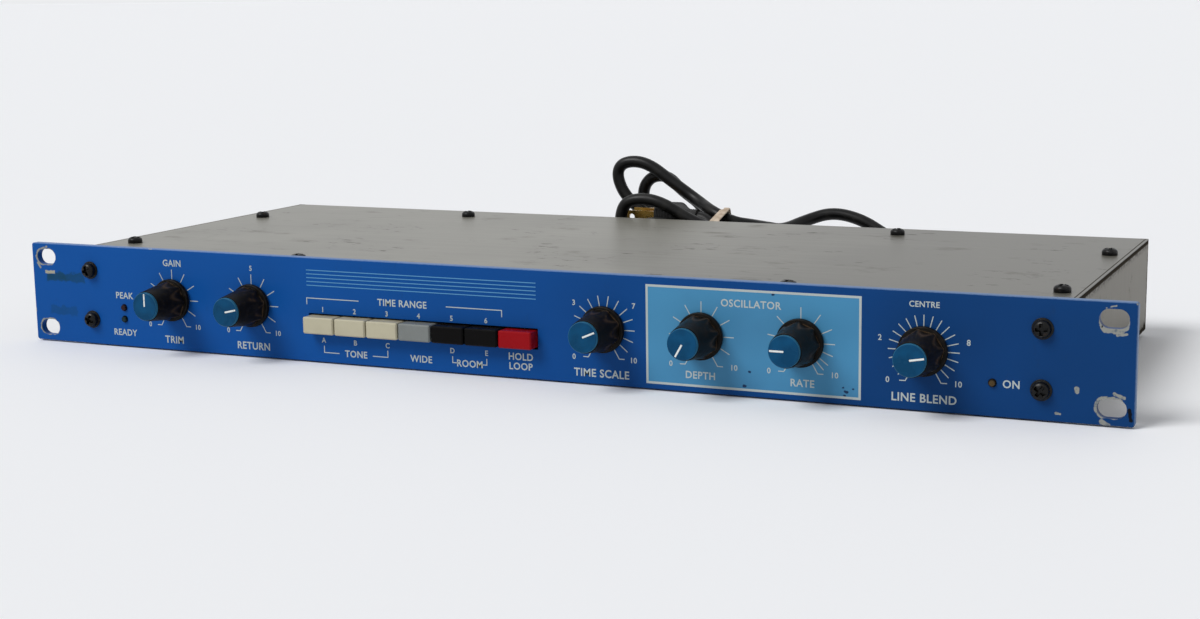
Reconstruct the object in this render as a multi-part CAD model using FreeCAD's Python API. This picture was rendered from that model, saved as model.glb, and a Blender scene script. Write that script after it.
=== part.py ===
"""A one-unit rackmount delay processor with its mains lead tied up behind it.

The face panel is the datum: its rear face is the plane Y = 0, X runs to the right
along the panel, Z is up, and the origin is the centre of the four rack slots.
The user stands on the -Y side. Sizes are millimetres.
"""
import FreeCAD, Part
import math
import os

V = FreeCAD.Vector
AXIS_X = V(1, 0, 0)
AXIS_Y = V(0, 1, 0)
AXIS_Z = V(0, 0, 1)

# Face panel: a 19 inch plate, one rack unit high
PANEL_WIDTH = 482.6
PANEL_HEIGHT = 43.9
PANEL_THICKNESS = 3.2
PANEL_CORNER_RADIUS = 1.2
PANEL_EDGE_BREAK = 0.3
SLOT_EDGE = 7.95
SLOT_SPACING_Z = 31.75
SLOT_LENGTH = 10.3
SLOT_WIDTH = 7.0

# Steel case behind the panel
CASE_WIDTH = 436.0
CASE_DEPTH = 177.0
CASE_HEIGHT = 39.7
CASE_CENTRE_Z = 0.15
COVER_SHEET = 1.2
WALL_SHEET = 1.5
FRONT_FLANGE = 14.0
SIDE_FLANGE = 22.0
REAR_FLANGE = 28.0

# Pan-head screws that hold the covers and the panel
SCREW_RADIUS = 1.5
SCREW_LENGTH = 6.0
HEAD_RADIUS = 3.2
HEAD_HEIGHT = 2.9
HEAD_SIDE = 1.9
HEAD_CROWN_RADIUS = 2.3
WASHER_RADIUS = 3.9
WASHER_THICKNESS = 0.5
CLEARANCE_HOLE_EXTRA = 0.3
THREAD_HOLE_EXTRA = 0.05
COVER_SCREW_EDGE_X = 10.5
COVER_SCREW_SHIFT_X = 3.0
COVER_SCREW_SIDE_Y = (23.0, 123.0)
COVER_SCREW_INNER_X = 109.0
COVER_SCREW_REAR_EDGE = 20.0
COVER_SCREW_FRONT_Y = 6.5
PANEL_SCREW_EDGE = 9.0
PANEL_SCREW_Z = 11.0

# Rotary controls: name, X of the shaft, and pointer angle clockwise from up
LEVEL_DIAL_EDGE = 53.1
MIX_DIAL_EDGE = 51.4
DIALS = (
    ("level", LEVEL_DIAL_EDGE - CASE_WIDTH / 2, 0.0),
    ("feedback", -123.7, 77.0),
    ("delay", 40.0, 67.0),
    ("width", 80.7, -150.0),
    ("speed", 120.3, -90.0),
    ("mix", CASE_WIDTH / 2 - MIX_DIAL_EDGE, 80.0),
)
DIAL_Z = 0.2
SHAFT_RADIUS = 3.0
SHAFT_RUNNING_FIT = 0.05
SHAFT_END_IN_KNOB = 15.0
BUSHING_RADIUS = 4.7
BUSHING_REACH = 3.8
BUSHING_HOLE_EXTRA = 0.1
NUT_ACROSS_FLATS = 11.0
NUT_THICKNESS = 2.0
POT_RADIUS = 8.0
POT_DEPTH = 9.0
POT_BORE_DEPTH = 7.5
POT_LEG_SPACING = 5.0
POT_LEG_WIDTH = 1.2
POT_LEG_THICKNESS = 0.6

# Knobs: a skirt, a tapered grip with broad scallops, and a coloured cap on top
KNOB_GAP = 0.7
KNOB_HEIGHT = 19.0
SKIRT_RADIUS = 9.2
SKIRT_HEIGHT = 1.8
SKIRT_CHAMFER = 0.5
NECK_RADIUS = 7.9
NECK_HEIGHT = 0.5
GRIP_BASE_RADIUS = 8.4
GRIP_TOP_RADIUS = 6.4
SCALLOP_COUNT = 8
SCALLOP_RADIUS = 11.0
SCALLOP_CLOSEST = 7.6
KNOB_HOLLOW_RADIUS = 6.8
KNOB_HOLLOW_DEPTH = 4.6
CAP_RADIUS = 6.05
CAP_HEIGHT = 1.5
CAP_BEVEL = 0.35
CAP_SPIGOT_RADIUS = 3.6
CAP_SPIGOT_HEIGHT = 2.0
POINTER_WIDTH = 0.9
POINTER_DEPTH = 0.35
POINTER_RIM = 0.5

# Push-button bank
BUTTON_COUNT = 7
BUTTON_PITCH = 15.24
BUTTON_WIDTH = 14.6
BUTTON_HEIGHT = 7.0
BUTTON_REACH = 5.7
BUTTON_REAR_Y = 1.0
BUTTON_BEVEL = 0.5
BUTTON_ROUND = 0.8
BUTTON_TRAVEL = 3.8
BANK_CENTRE_X = -41.9
BANK_CENTRE_Z = -5.7
WINDOW_MARGIN_X = 0.45
WINDOW_MARGIN_Z = 0.75
PLUNGER_WIDTH = 4.8
PLUNGER_HEIGHT = 3.2
PLUNGER_SOCKET_DEPTH = 5.5
PLUNGER_FIT = 0.2
PLUNGER_TAIL = 1.0
COLLAR_WIDTH = 7.4
COLLAR_HEIGHT = 5.6
COLLAR_THICKNESS = 1.2
COLLAR_GAP = 0.3
HOUSING_WIDTH = 12.6
HOUSING_HEIGHT = 10.0
HOUSING_LENGTH = 24.0
HOUSING_WALL = 1.4
BRACKET_THICKNESS = 1.2
BRACKET_HEIGHT = 10.0
BRACKET_GAP = 3.2
LATCH_BAR_HEIGHT = 0.8
LATCH_BAR_WIDTH = 5.0

# Indicator lamps: name, X, Z
LEFT_LAMP_EDGE = 26.6
RIGHT_LAMP_EDGE = 26.3
LAMPS = (
    ("red_lamp", LEFT_LAMP_EDGE - CASE_WIDTH / 2, -4.8),
    ("green_lamp", LEFT_LAMP_EDGE - CASE_WIDTH / 2, -9.9),
    ("amber_lamp", CASE_WIDTH / 2 - RIGHT_LAMP_EDGE, -9.7),
)
LAMP_RADIUS = 1.5
LAMP_DOME = 1.0
LAMP_FLANGE_RADIUS = 2.1
LAMP_FLANGE = 1.0
LAMP_BODY_LENGTH = 3.0
LAMP_HOLE_EXTRA = 0.1

# Circuit board and what it carries
BOARD_THICKNESS = 1.6
BOARD_FRONT_Y = 7.5
BOARD_REAR_CLEARANCE = 1.5
BOARD_FOOT_CLEARANCE = 10.0
BOARD_TONGUE_CLEARANCE = 26.5
BOARD_TONGUE_Y = 42.0
STANDOFF_RADIUS = 3.2
STANDOFF_CLEARANCE = 2.8
STANDOFF_INSET = 10.0
BOARD_SCREW_HEAD_RADIUS = 2.8
BOARD_SCREW_HEAD_HEIGHT = 1.8
BOARD_SCREW_LENGTH = 4.5
CHIP_LENGTH = 19.8
CHIP_WIDTH = 6.6
CHIP_HEIGHT = 4.2
CHIP_NOTCH_RADIUS = 1.0
CHIP_COLUMNS = 8
CHIP_ROWS = 4
CHIP_PITCH_Y = 19.0
CHIP_EDGE_X = 24.0
CHIP_FRONT_Y = 52.0
CHIP_HEAT_SINK_GAP = 18.2
CAPACITOR_RADIUS = 8.0
CAPACITOR_HEIGHT = 24.0
CAPACITOR_EDGE = (12.0, 27.5)
CAPACITOR_PITCH = (19.0, 22.0)
CAPACITOR_GRID = (3, 2)
HEAT_SINK_LENGTH = 46.0
HEAT_SINK_EDGE_X = 8.0
HEAT_SINK_CAPACITOR_GAP = 17.0
HEAT_SINK_THICKNESS = 2.0
HEAT_SINK_HEIGHT = 24.0
HEAT_SINK_FIN = 9.0
HEAT_SINK_FINS = 6
REGULATOR_SIZE = (10.2, 4.5, 15.5)
REGULATOR_SPACING = 24.0

# Mains transformer
TRANSFORMER_SIDE = 60.0
TRANSFORMER_REAR = 85.0
CORE_WIDTH = 54.0
CORE_STACK = 22.0
CORE_HEIGHT = 34.5
CORE_LIMB = 9.0
COIL_CLEARANCE = 0.4
COIL_OVERHANG = 9.0
CORE_FOOT_LENGTH = 9.0
CORE_FOOT_THICKNESS = 1.6

# Rear panel fittings
JACK_COUNT = 4
JACK_EDGE = 28.0
JACK_PITCH = 30.0
JACK_Z = 0.15
JACK_BUSHING_RADIUS = 4.7
JACK_BUSHING_REACH = 6.0
JACK_BORE_RADIUS = 3.25
JACK_BORE_LENGTH = 33.0
JACK_BODY_RADIUS = 7.8
JACK_BODY_LENGTH = 29.0
JACK_NUT_ACROSS_FLATS = 12.7
JACK_NUT_THICKNESS = 2.4
FITTING_HOLE_EXTRA = 0.1
FUSE_SPACING = 32.0
FUSE_Z = -2.0
FUSE_BODY_RADIUS = 6.3
FUSE_BODY_LENGTH = 26.0
FUSE_COLLAR_RADIUS = 8.4
FUSE_COLLAR_THICKNESS = 2.2
FUSE_CAP_RADIUS = 6.6
FUSE_CAP_HEIGHT = 8.0
FUSE_SLOT_WIDTH = 1.4
FUSE_SLOT_DEPTH = 1.2
RELIEF_X = 118.0
RELIEF_Z = -2.0
RELIEF_FLANGE_RADIUS = 8.2
RELIEF_FLANGE_THICKNESS = 2.2
RELIEF_BARREL_RADIUS = 6.4
RELIEF_BARREL_LENGTH = 9.0
RELIEF_CONE_RADIUS = 6.2
RELIEF_TIP_RADIUS = 4.1
RELIEF_REACH = 28.0
RELIEF_RIB_COUNT = 4
RELIEF_RIB_WIDTH = 1.6
RELIEF_RIB_DEPTH = 0.7

# Mains lead
CORD_DIAMETER = 6.0
CORD_SIDES = 8
LEAD_ROUTE = (
    (RELIEF_X, 205.0, RELIEF_Z),
    (RELIEF_X, 223.0, RELIEF_Z),
    (110.0, 238.0, -1.5),
    (95.0, 246.0, 3.5),
    (80.0, 248.0, 12.0),
    (66.0, 247.0, 16.8),
    (52.0, 243.0, 17.6),
    (40.0, 232.0, 15.2),
    (30.0, 216.0, 14.2),
)
LEAD_ARC_SHARE = 0.45

# Hank: two layers of two turns, pinched by a band at the waist
WAIST_X = 12.0
HANK_FLOOR_Z = -19.3
REAR_LAYER_Y = 204.0
FRONT_LAYER_Y = 189.8
TAIL_LAYER_Y = 196.9
TALL_LOOP_Y = 216.0
LOW_LOOP_Y = 187.6
TALL_LOOP_STEP_Y = 6.8
WAIST_TOP_REAR_Z = 18.0
WAIST_TOP_FRONT_Z = 14.2
WAIST_LOW_REAR_Z = -5.4
WAIST_LOW_FRONT_Z = -12.6
BAND_WIDTH = 5.2
BAND_THICKNESS = 1.0
BAND_SLACK = 1.6

# Plug on the end of the lead
PLUG_ENTRY = (-1.5, 201.2, 18.2)
PLUG_NECK_RADIUS = 4.2
PLUG_RADIUS = 9.6
PLUG_LENGTH = 20.0
PLUG_NECK_LENGTH = 4.0
PLUG_SHOULDER_LENGTH = 10.0
PLUG_HALF_THICKNESS = 7.0
PLUG_FACE_CHAMFER = 0.8
BLADE_LENGTH = 16.5
BLADE_WIDTH = 6.35
BLADE_THICKNESS = 1.5
BLADE_SPACING = 12.7
BLADE_ROOT = 3.0
BLADE_HOLE_RADIUS = 1.6
BLADE_HOLE_FROM_TIP = 4.0

# Levels that follow from the sizes above
CASE_TOP = CASE_CENTRE_Z + CASE_HEIGHT / 2
CASE_BOTTOM = CASE_CENTRE_Z - CASE_HEIGHT / 2
INNER_TOP = CASE_TOP - COVER_SHEET
INNER_BOTTOM = CASE_BOTTOM + COVER_SHEET
SIDE_X = CASE_WIDTH / 2
SLOT_SPACING_X = PANEL_WIDTH - 2 * SLOT_EDGE
PANEL_SCREW_X = SIDE_X - PANEL_SCREW_EDGE
FUSE_X = RELIEF_X + FUSE_SPACING
PANEL_FACE_Y = -PANEL_THICKNESS
REAR_WALL_Y = CASE_DEPTH - WALL_SHEET
BRACKET_Y = BUTTON_REAR_Y + BUTTON_TRAVEL + BRACKET_GAP
HOUSING_Y = BRACKET_Y + BRACKET_THICKNESS
BOARD_TOP = BANK_CENTRE_Z - HOUSING_HEIGHT / 2
BOARD_BOTTOM = BOARD_TOP - BOARD_THICKNESS
FLANGE_X = SIDE_X - SIDE_FLANGE
FLANGE_Y = CASE_DEPTH - REAR_FLANGE
TRANSFORMER_CENTRE = (SIDE_X - TRANSFORMER_SIDE, CASE_DEPTH - TRANSFORMER_REAR)
TRANSFORMER_LEFT = TRANSFORMER_CENTRE[0] - CORE_WIDTH / 2 - CORE_FOOT_LENGTH
BOARD_LEFT = STANDOFF_CLEARANCE + STANDOFF_RADIUS - STANDOFF_INSET - FLANGE_X
BOARD_RIGHT = TRANSFORMER_LEFT - BOARD_FOOT_CLEARANCE
BOARD_TONGUE_X = SIDE_X - WALL_SHEET - BOARD_TONGUE_CLEARANCE
BOARD_REAR_Y = FLANGE_Y - BOARD_REAR_CLEARANCE
CAPACITOR_LAST = (BOARD_RIGHT - CAPACITOR_EDGE[0], BOARD_REAR_Y - CAPACITOR_EDGE[1])
CAPACITOR_FRONT_Y = CAPACITOR_LAST[1] - CAPACITOR_PITCH[1] * (CAPACITOR_GRID[1] - 1) - CAPACITOR_RADIUS
HEAT_SINK_RIGHT = BOARD_RIGHT - HEAT_SINK_EDGE_X
HEAT_SINK_LEFT = HEAT_SINK_RIGHT - HEAT_SINK_LENGTH
HEAT_SINK_REAR_Y = CAPACITOR_FRONT_Y - HEAT_SINK_CAPACITOR_GAP - HEAT_SINK_FIN
HEAT_SINK_Y = HEAT_SINK_REAR_Y - HEAT_SINK_THICKNESS
CHIP_LEFT = BOARD_LEFT + CHIP_EDGE_X
CHIP_LAST = HEAT_SINK_LEFT - CHIP_HEAT_SINK_GAP - CHIP_LENGTH
CHIP_PITCH_X = (CHIP_LAST - CHIP_LEFT) / (CHIP_COLUMNS - 1)
KNOB_BASE_Y = PANEL_FACE_Y - KNOB_GAP
CORD_RADIUS = CORD_DIAMETER / 2


def box(x0, x1, y0, y1, z0, z1):
    """A box between two corners."""
    return Part.makeBox(x1 - x0, y1 - y0, z1 - z0, V(x0, y0, z0))


def centred_box(x, z, width, height, y0, y1):
    """A box centred on X and Z that runs from y0 to y1."""
    return box(x - width / 2, x + width / 2, y0, y1, z - height / 2, z + height / 2)


def rod(x, z, radius, y0, y1):
    """A round bar along Y."""
    return Part.makeCylinder(radius, y1 - y0, V(x, y0, z), AXIS_Y)


def post(x, y, radius, z0, z1):
    """A round bar along Z."""
    return Part.makeCylinder(radius, z1 - z0, V(x, y, z0), AXIS_Z)


def turned(profile, centre, axis):
    """A solid of revolution: (radius, height) corners about an axis through centre."""
    corners = [V(radius, 0, height) for radius, height in profile]
    face = Part.Face(Part.makePolygon(corners + corners[:1]))
    solid = face.revolve(V(0, 0, 0), AXIS_Z, 360)
    solid.Placement = FreeCAD.Placement(centre, FreeCAD.Rotation(AXIS_Z, axis))
    return solid


def hexagon(x, z, across_flats, y0, y1):
    """A hexagonal bar along Y with flats at the top and bottom."""
    radius = across_flats / math.sqrt(3)
    corners = []
    for index in range(6):
        angle = math.radians(60 * index)
        corners.append(V(x + radius * math.cos(angle), y0, z + radius * math.sin(angle)))
    face = Part.Face(Part.makePolygon(corners + corners[:1]))
    return face.extrude(V(0, y1 - y0, 0))


def slot(x, z, length, width, y0, y1):
    """A bar along Y with a round-ended section that is long in X."""
    radius = width / 2
    reach = length / 2 - radius
    bar = box(x - reach, x + reach, y0, y1, z - radius, z + radius)
    return bar.fuse([rod(x - reach, z, radius, y0, y1), rod(x + reach, z, radius, y0, y1)])


def save(name, shape):
    """Writes one node and reports it."""
    if isinstance(shape, (list, tuple)):
        shape = Part.makeCompound(list(shape))
    shape.exportStep("parts/%s.step" % name)
    faulty = "" if shape.isValid() else " FAULTY"
    print("%-22s %3d solids %5d faces%s" % (name, len(shape.Solids), len(shape.Faces), faulty))


def dial_places():
    return [(x, DIAL_Z) for _, x, _ in DIALS]


def button_places():
    first = BANK_CENTRE_X - BUTTON_PITCH * (BUTTON_COUNT - 1) / 2
    return [(first + BUTTON_PITCH * index, BANK_CENTRE_Z) for index in range(BUTTON_COUNT)]


def jack_places():
    return [JACK_EDGE - SIDE_X + JACK_PITCH * index for index in range(JACK_COUNT)]


def panel_screw_places():
    return [(sx * PANEL_SCREW_X, sz * PANEL_SCREW_Z) for sx in (-1, 1) for sz in (-1, 1)]


def cover_screw_places():
    """The eight cover screws, the same on the top and the bottom."""
    edge = SIDE_X - COVER_SCREW_EDGE_X
    places = [(side * edge, y) for side in (-1, 1) for y in COVER_SCREW_SIDE_Y]
    for side in (-1, 1):
        places.append((side * COVER_SCREW_INNER_X, CASE_DEPTH - COVER_SCREW_REAR_EDGE))
        places.append((side * COVER_SCREW_INNER_X, COVER_SCREW_FRONT_Y))
    return [(x + COVER_SCREW_SHIFT_X, y) for x, y in places]


def window(y0, y1):
    """The cut-out that the row of buttons comes through."""
    width = BUTTON_PITCH * (BUTTON_COUNT - 1) + BUTTON_WIDTH + 2 * WINDOW_MARGIN_X
    height = BUTTON_HEIGHT + 2 * WINDOW_MARGIN_Z
    return centred_box(BANK_CENTRE_X, BANK_CENTRE_Z, width, height, y0, y1)


def control_holes(y0, y1, screw_hole_radius):
    """Everything that is cut through both the panel and the wall behind it."""
    cuts = [window(y0, y1)]
    cuts += [rod(x, z, BUSHING_RADIUS + BUSHING_HOLE_EXTRA, y0, y1) for x, z in dial_places()]
    cuts += [rod(x, z, LAMP_RADIUS + LAMP_HOLE_EXTRA, y0, y1) for _, x, z in LAMPS]
    cuts += [rod(x, z, screw_hole_radius, y0, y1) for x, z in panel_screw_places()]
    return cuts


def front_panel():
    """The painted plate with rack slots, control holes and lightly broken edges."""
    plate = centred_box(0, 0, PANEL_WIDTH, PANEL_HEIGHT, PANEL_FACE_Y, 0)
    corners = [e for e in plate.Edges if abs(e.tangentAt(e.FirstParameter).y) > 0.99]
    plate = plate.makeFillet(PANEL_CORNER_RADIUS, corners)
    rim = [e for e in plate.Edges if e.BoundBox.YMax < PANEL_FACE_Y + PANEL_THICKNESS / 4]
    plate = plate.makeChamfer(PANEL_EDGE_BREAK, rim)
    y0 = PANEL_FACE_Y - 1
    cuts = control_holes(y0, 1, SCREW_RADIUS + CLEARANCE_HOLE_EXTRA)
    for side in (-1, 1):
        for level in (-1, 1):
            x = side * SLOT_SPACING_X / 2
            z = level * SLOT_SPACING_Z / 2
            cuts.append(slot(x, z, SLOT_LENGTH, SLOT_WIDTH, y0, 1))
    return plate.cut(cuts)


def flange_holes(z0, z1):
    radius = SCREW_RADIUS + THREAD_HOLE_EXTRA
    return [post(x, y, radius, z0, z1) for x, y in cover_screw_places()]


def channel(x0, x1, y0, y1, web):
    """A wall with a flange at its top and bottom: web is the upright's own box."""
    top = box(x0, x1, y0, y1, INNER_TOP - WALL_SHEET, INNER_TOP)
    bottom = box(x0, x1, y0, y1, INNER_BOTTOM, INNER_BOTTOM + WALL_SHEET)
    upright = box(web[0], web[1], web[2], web[3], INNER_BOTTOM, INNER_TOP)
    folded = upright.fuse([top, bottom]).removeSplitter()
    return folded.cut(flange_holes(INNER_BOTTOM - 1, INNER_TOP + 1))


def front_wall():
    """The upright behind the face panel that the controls are clamped to."""
    half = SIDE_X - WALL_SHEET
    wall = channel(-half, half, 0, FRONT_FLANGE, (-half, half, 0, WALL_SHEET))
    return wall.cut(control_holes(-1, WALL_SHEET + 1, SCREW_RADIUS + THREAD_HOLE_EXTRA))


def side_walls():
    """The left and right walls, whose flanges stop at the front and rear ones."""
    walls = []
    rear = CASE_DEPTH - REAR_FLANGE
    for side in (-1, 1):
        outer = sorted((side * SIDE_X, side * (SIDE_X - WALL_SHEET)))
        flange = sorted((side * SIDE_X, side * (SIDE_X - SIDE_FLANGE)))
        upright = (outer[0], outer[1], 0, CASE_DEPTH)
        walls.append(channel(flange[0], flange[1], FRONT_FLANGE, rear, upright))
    return walls


def rear_panel():
    """The rear wall with the holes of the sockets, the fuse and the lead."""
    half = SIDE_X - WALL_SHEET
    rear = (-half, half, REAR_WALL_Y, CASE_DEPTH)
    wall = channel(-half, half, CASE_DEPTH - REAR_FLANGE, CASE_DEPTH, rear)
    y0 = REAR_WALL_Y - 1
    y1 = CASE_DEPTH + 1
    cuts = [rod(x, JACK_Z, JACK_BUSHING_RADIUS + FITTING_HOLE_EXTRA, y0, y1) for x in jack_places()]
    cuts.append(rod(FUSE_X, FUSE_Z, FUSE_BODY_RADIUS + FITTING_HOLE_EXTRA, y0, y1))
    cuts.append(rod(RELIEF_X, RELIEF_Z, RELIEF_BARREL_RADIUS + FITTING_HOLE_EXTRA, y0, y1))
    return wall.cut(cuts)


def cover(z0):
    """A flat cover plate, the full footprint of the case."""
    plate = box(-SIDE_X, SIDE_X, 0, CASE_DEPTH, z0, z0 + COVER_SHEET)
    radius = SCREW_RADIUS + CLEARANCE_HOLE_EXTRA
    cuts = [post(x, y, radius, z0 - 1, z0 + COVER_SHEET + 1) for x, y in cover_screw_places()]
    return plate.cut(cuts)


def pan_screw(centre, outward):
    """A pan-head screw whose head sits on the plane through centre."""
    profile = (
        (0, -SCREW_LENGTH),
        (SCREW_RADIUS, -SCREW_LENGTH),
        (SCREW_RADIUS, 0),
        (HEAD_RADIUS, 0),
        (HEAD_RADIUS, HEAD_SIDE),
        (HEAD_CROWN_RADIUS, HEAD_HEIGHT),
        (0, HEAD_HEIGHT),
    )
    return turned(profile, centre, outward)


def cover_screws():
    """Eight screws on the top cover and eight on the bottom, which the unit stands on."""
    top = [pan_screw(V(x, y, CASE_TOP), AXIS_Z) for x, y in cover_screw_places()]
    bottom = [pan_screw(V(x, y, CASE_BOTTOM), -AXIS_Z) for x, y in cover_screw_places()]
    return top + bottom


def panel_screws():
    seat = PANEL_FACE_Y - WASHER_THICKNESS
    screws = []
    for x, z in panel_screw_places():
        washer = rod(x, z, WASHER_RADIUS, seat, PANEL_FACE_Y)
        screws.append(pan_screw(V(x, seat, z), -AXIS_Y).fuse(washer))
    return screws


def potentiometer(x, z):
    """The round body, its threaded bushing and three legs down to the board."""
    front = WALL_SHEET
    body = rod(x, z, POT_RADIUS, front, front + POT_DEPTH)
    bushing = rod(x, z, BUSHING_RADIUS, PANEL_FACE_Y - BUSHING_REACH, front)
    leg_y = front + POT_DEPTH - POT_LEG_THICKNESS
    legs = []
    for index in (-1, 0, 1):
        leg_x = x + index * POT_LEG_SPACING
        low = leg_x - POT_LEG_WIDTH / 2
        high = leg_x + POT_LEG_WIDTH / 2
        legs.append(box(low, high, leg_y, leg_y + POT_LEG_THICKNESS, BOARD_TOP, z))
    bore_end = front + POT_BORE_DEPTH
    bore = rod(x, z, SHAFT_RADIUS + SHAFT_RUNNING_FIT, PANEL_FACE_Y - BUSHING_REACH - 1, bore_end)
    return body.fuse([bushing] + legs).cut(bore)


def potentiometers():
    """Six potentiometers, each with the nut that clamps it to the panel."""
    solids = []
    for x, z in dial_places():
        solids.append(potentiometer(x, z))
        nut = hexagon(x, z, NUT_ACROSS_FLATS, PANEL_FACE_Y - NUT_THICKNESS, PANEL_FACE_Y)
        hole = rod(x, z, BUSHING_RADIUS, PANEL_FACE_Y - NUT_THICKNESS - 1, PANEL_FACE_Y + 1)
        solids.append(nut.cut(hole))
    return solids


def knob_placement(x, angle):
    """Puts a knob built upright about Z onto its shaft, with its pointer at angle."""
    onto_shaft = FreeCAD.Rotation(AXIS_X, 90)
    turn = FreeCAD.Rotation(AXIS_Y, angle)
    return FreeCAD.Placement(V(x, KNOB_BASE_Y, DIAL_Z), turn.multiply(onto_shaft))


def knob_body():
    """Skirt, neck and tapered grip about +Z, with scallops that fade out upwards."""
    grip_start = SKIRT_HEIGHT + NECK_HEIGHT
    grip_end = KNOB_HEIGHT - CAP_HEIGHT
    outline = (
        (0, 0),
        (SKIRT_RADIUS, 0),
        (SKIRT_RADIUS, SKIRT_HEIGHT - SKIRT_CHAMFER),
        (SKIRT_RADIUS - SKIRT_CHAMFER, SKIRT_HEIGHT),
        (NECK_RADIUS, SKIRT_HEIGHT),
        (NECK_RADIUS, grip_start),
        (GRIP_BASE_RADIUS, grip_start),
        (GRIP_TOP_RADIUS, grip_end),
        (0, grip_end),
    )
    body = turned(outline, V(0, 0, 0), AXIS_Z)
    cuts = []
    for index in range(SCALLOP_COUNT):
        angle = math.radians(360 * (index + 0.5) / SCALLOP_COUNT)
        reach = SCALLOP_CLOSEST + SCALLOP_RADIUS
        x = reach * math.cos(angle)
        y = reach * math.sin(angle)
        cuts.append(post(x, y, SCALLOP_RADIUS, grip_start, grip_end))
    cuts.append(post(0, 0, KNOB_HOLLOW_RADIUS, -1, KNOB_HOLLOW_DEPTH))
    cuts.append(post(0, 0, SHAFT_RADIUS, -1, SHAFT_END_IN_KNOB))
    cuts.append(post(0, 0, CAP_SPIGOT_RADIUS, grip_end - CAP_SPIGOT_HEIGHT, grip_end + 1))
    return body.cut(cuts)


def knob_cap():
    """The coloured disc with a bevelled rim, a spigot below and a pointer groove."""
    seat = KNOB_HEIGHT - CAP_HEIGHT
    outline = (
        (0, seat - CAP_SPIGOT_HEIGHT),
        (CAP_SPIGOT_RADIUS, seat - CAP_SPIGOT_HEIGHT),
        (CAP_SPIGOT_RADIUS, seat),
        (CAP_RADIUS, seat),
        (CAP_RADIUS, KNOB_HEIGHT - CAP_BEVEL),
        (CAP_RADIUS - CAP_BEVEL, KNOB_HEIGHT),
        (0, KNOB_HEIGHT),
    )
    disc = turned(outline, V(0, 0, 0), AXIS_Z)
    half = POINTER_WIDTH / 2
    far_end = CAP_RADIUS - POINTER_RIM
    groove = box(-half, half, 0, far_end, KNOB_HEIGHT - POINTER_DEPTH, KNOB_HEIGHT + 1)
    return disc.cut(groove)


def knob_shaft():
    """The potentiometer's shaft, from inside its body up into the grip."""
    inner_end = -(KNOB_GAP + PANEL_THICKNESS + WALL_SHEET + POT_BORE_DEPTH - SHAFT_RUNNING_FIT)
    return post(0, 0, SHAFT_RADIUS, inner_end, SHAFT_END_IN_KNOB)


def button_cap(x, z):
    """A push-button cap with bevelled face edges and a socket for its plunger."""
    front = PANEL_FACE_Y - BUTTON_REACH
    cap = centred_box(x, z, BUTTON_WIDTH, BUTTON_HEIGHT, front, BUTTON_REAR_Y)
    long_edges = [e for e in cap.Edges if abs(e.tangentAt(e.FirstParameter).y) > 0.99]
    cap = cap.makeFillet(BUTTON_ROUND, long_edges)
    face_edges = [e for e in cap.Edges if e.BoundBox.YMax < front + BUTTON_REACH / 2]
    cap = cap.makeChamfer(BUTTON_BEVEL, face_edges)
    start = BUTTON_REAR_Y - PLUNGER_SOCKET_DEPTH
    socket = centred_box(x, z, PLUNGER_WIDTH, PLUNGER_HEIGHT, start, BUTTON_REAR_Y + 1)
    return cap.cut(socket)


def plunger(x, z):
    """The bar that the cap is pressed on, with the collar that stops it coming out."""
    start = BUTTON_REAR_Y - PLUNGER_SOCKET_DEPTH
    end = HOUSING_Y + HOUSING_LENGTH + PLUNGER_TAIL
    bar = centred_box(x, z, PLUNGER_WIDTH, PLUNGER_HEIGHT, start, end)
    collar_y = HOUSING_Y + COLLAR_GAP
    collar_end = collar_y + COLLAR_THICKNESS
    return bar.fuse(centred_box(x, z, COLLAR_WIDTH, COLLAR_HEIGHT, collar_y, collar_end))


def switch_bank():
    """The bracket across the bank, a housing for each button and the latch bar."""
    hole_width = PLUNGER_WIDTH + 2 * PLUNGER_FIT
    hole_height = PLUNGER_HEIGHT + 2 * PLUNGER_FIT
    width = BUTTON_PITCH * (BUTTON_COUNT - 1) + HOUSING_WIDTH
    bracket = centred_box(BANK_CENTRE_X, BANK_CENTRE_Z, width, BRACKET_HEIGHT, BRACKET_Y, HOUSING_Y)
    y0 = BRACKET_Y - 1
    y1 = HOUSING_Y + HOUSING_LENGTH + 1
    holes = [centred_box(x, z, hole_width, hole_height, y0, y1) for x, z in button_places()]
    solids = [bracket.cut(holes)]
    for index, (x, z) in enumerate(button_places()):
        rear = HOUSING_Y + HOUSING_LENGTH
        shell = centred_box(x, z, HOUSING_WIDTH, HOUSING_HEIGHT, HOUSING_Y, rear)
        inner_width = HOUSING_WIDTH - 2 * HOUSING_WALL
        inner_height = HOUSING_HEIGHT - 2 * HOUSING_WALL
        cavity = centred_box(x, z, inner_width, inner_height, y0, rear - HOUSING_WALL)
        solids.append(shell.cut([cavity, holes[index]]))
    top = BANK_CENTRE_Z + HOUSING_HEIGHT / 2
    y = HOUSING_Y + HOUSING_LENGTH / 2
    low = BANK_CENTRE_X - width / 2
    high = BANK_CENTRE_X + width / 2
    solids.append(box(low, high, y, y + LATCH_BAR_WIDTH, top, top + LATCH_BAR_HEIGHT))
    return solids


def lamp(x, z):
    """A 3 mm lamp: a domed lens through the panel and a flange behind the wall."""
    face = PANEL_FACE_Y
    dome_centre = V(x, face, z)
    flange_end = WALL_SHEET + LAMP_FLANGE
    lens = rod(x, z, LAMP_RADIUS, face, WALL_SHEET)
    dome = Part.makeSphere(LAMP_RADIUS, dome_centre)
    dome = dome.common(rod(x, z, LAMP_RADIUS, face - LAMP_DOME, face))
    flange = rod(x, z, LAMP_FLANGE_RADIUS, WALL_SHEET, flange_end)
    body = rod(x, z, LAMP_RADIUS, flange_end, flange_end + LAMP_BODY_LENGTH)
    return lens.fuse([dome, flange, body])


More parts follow.
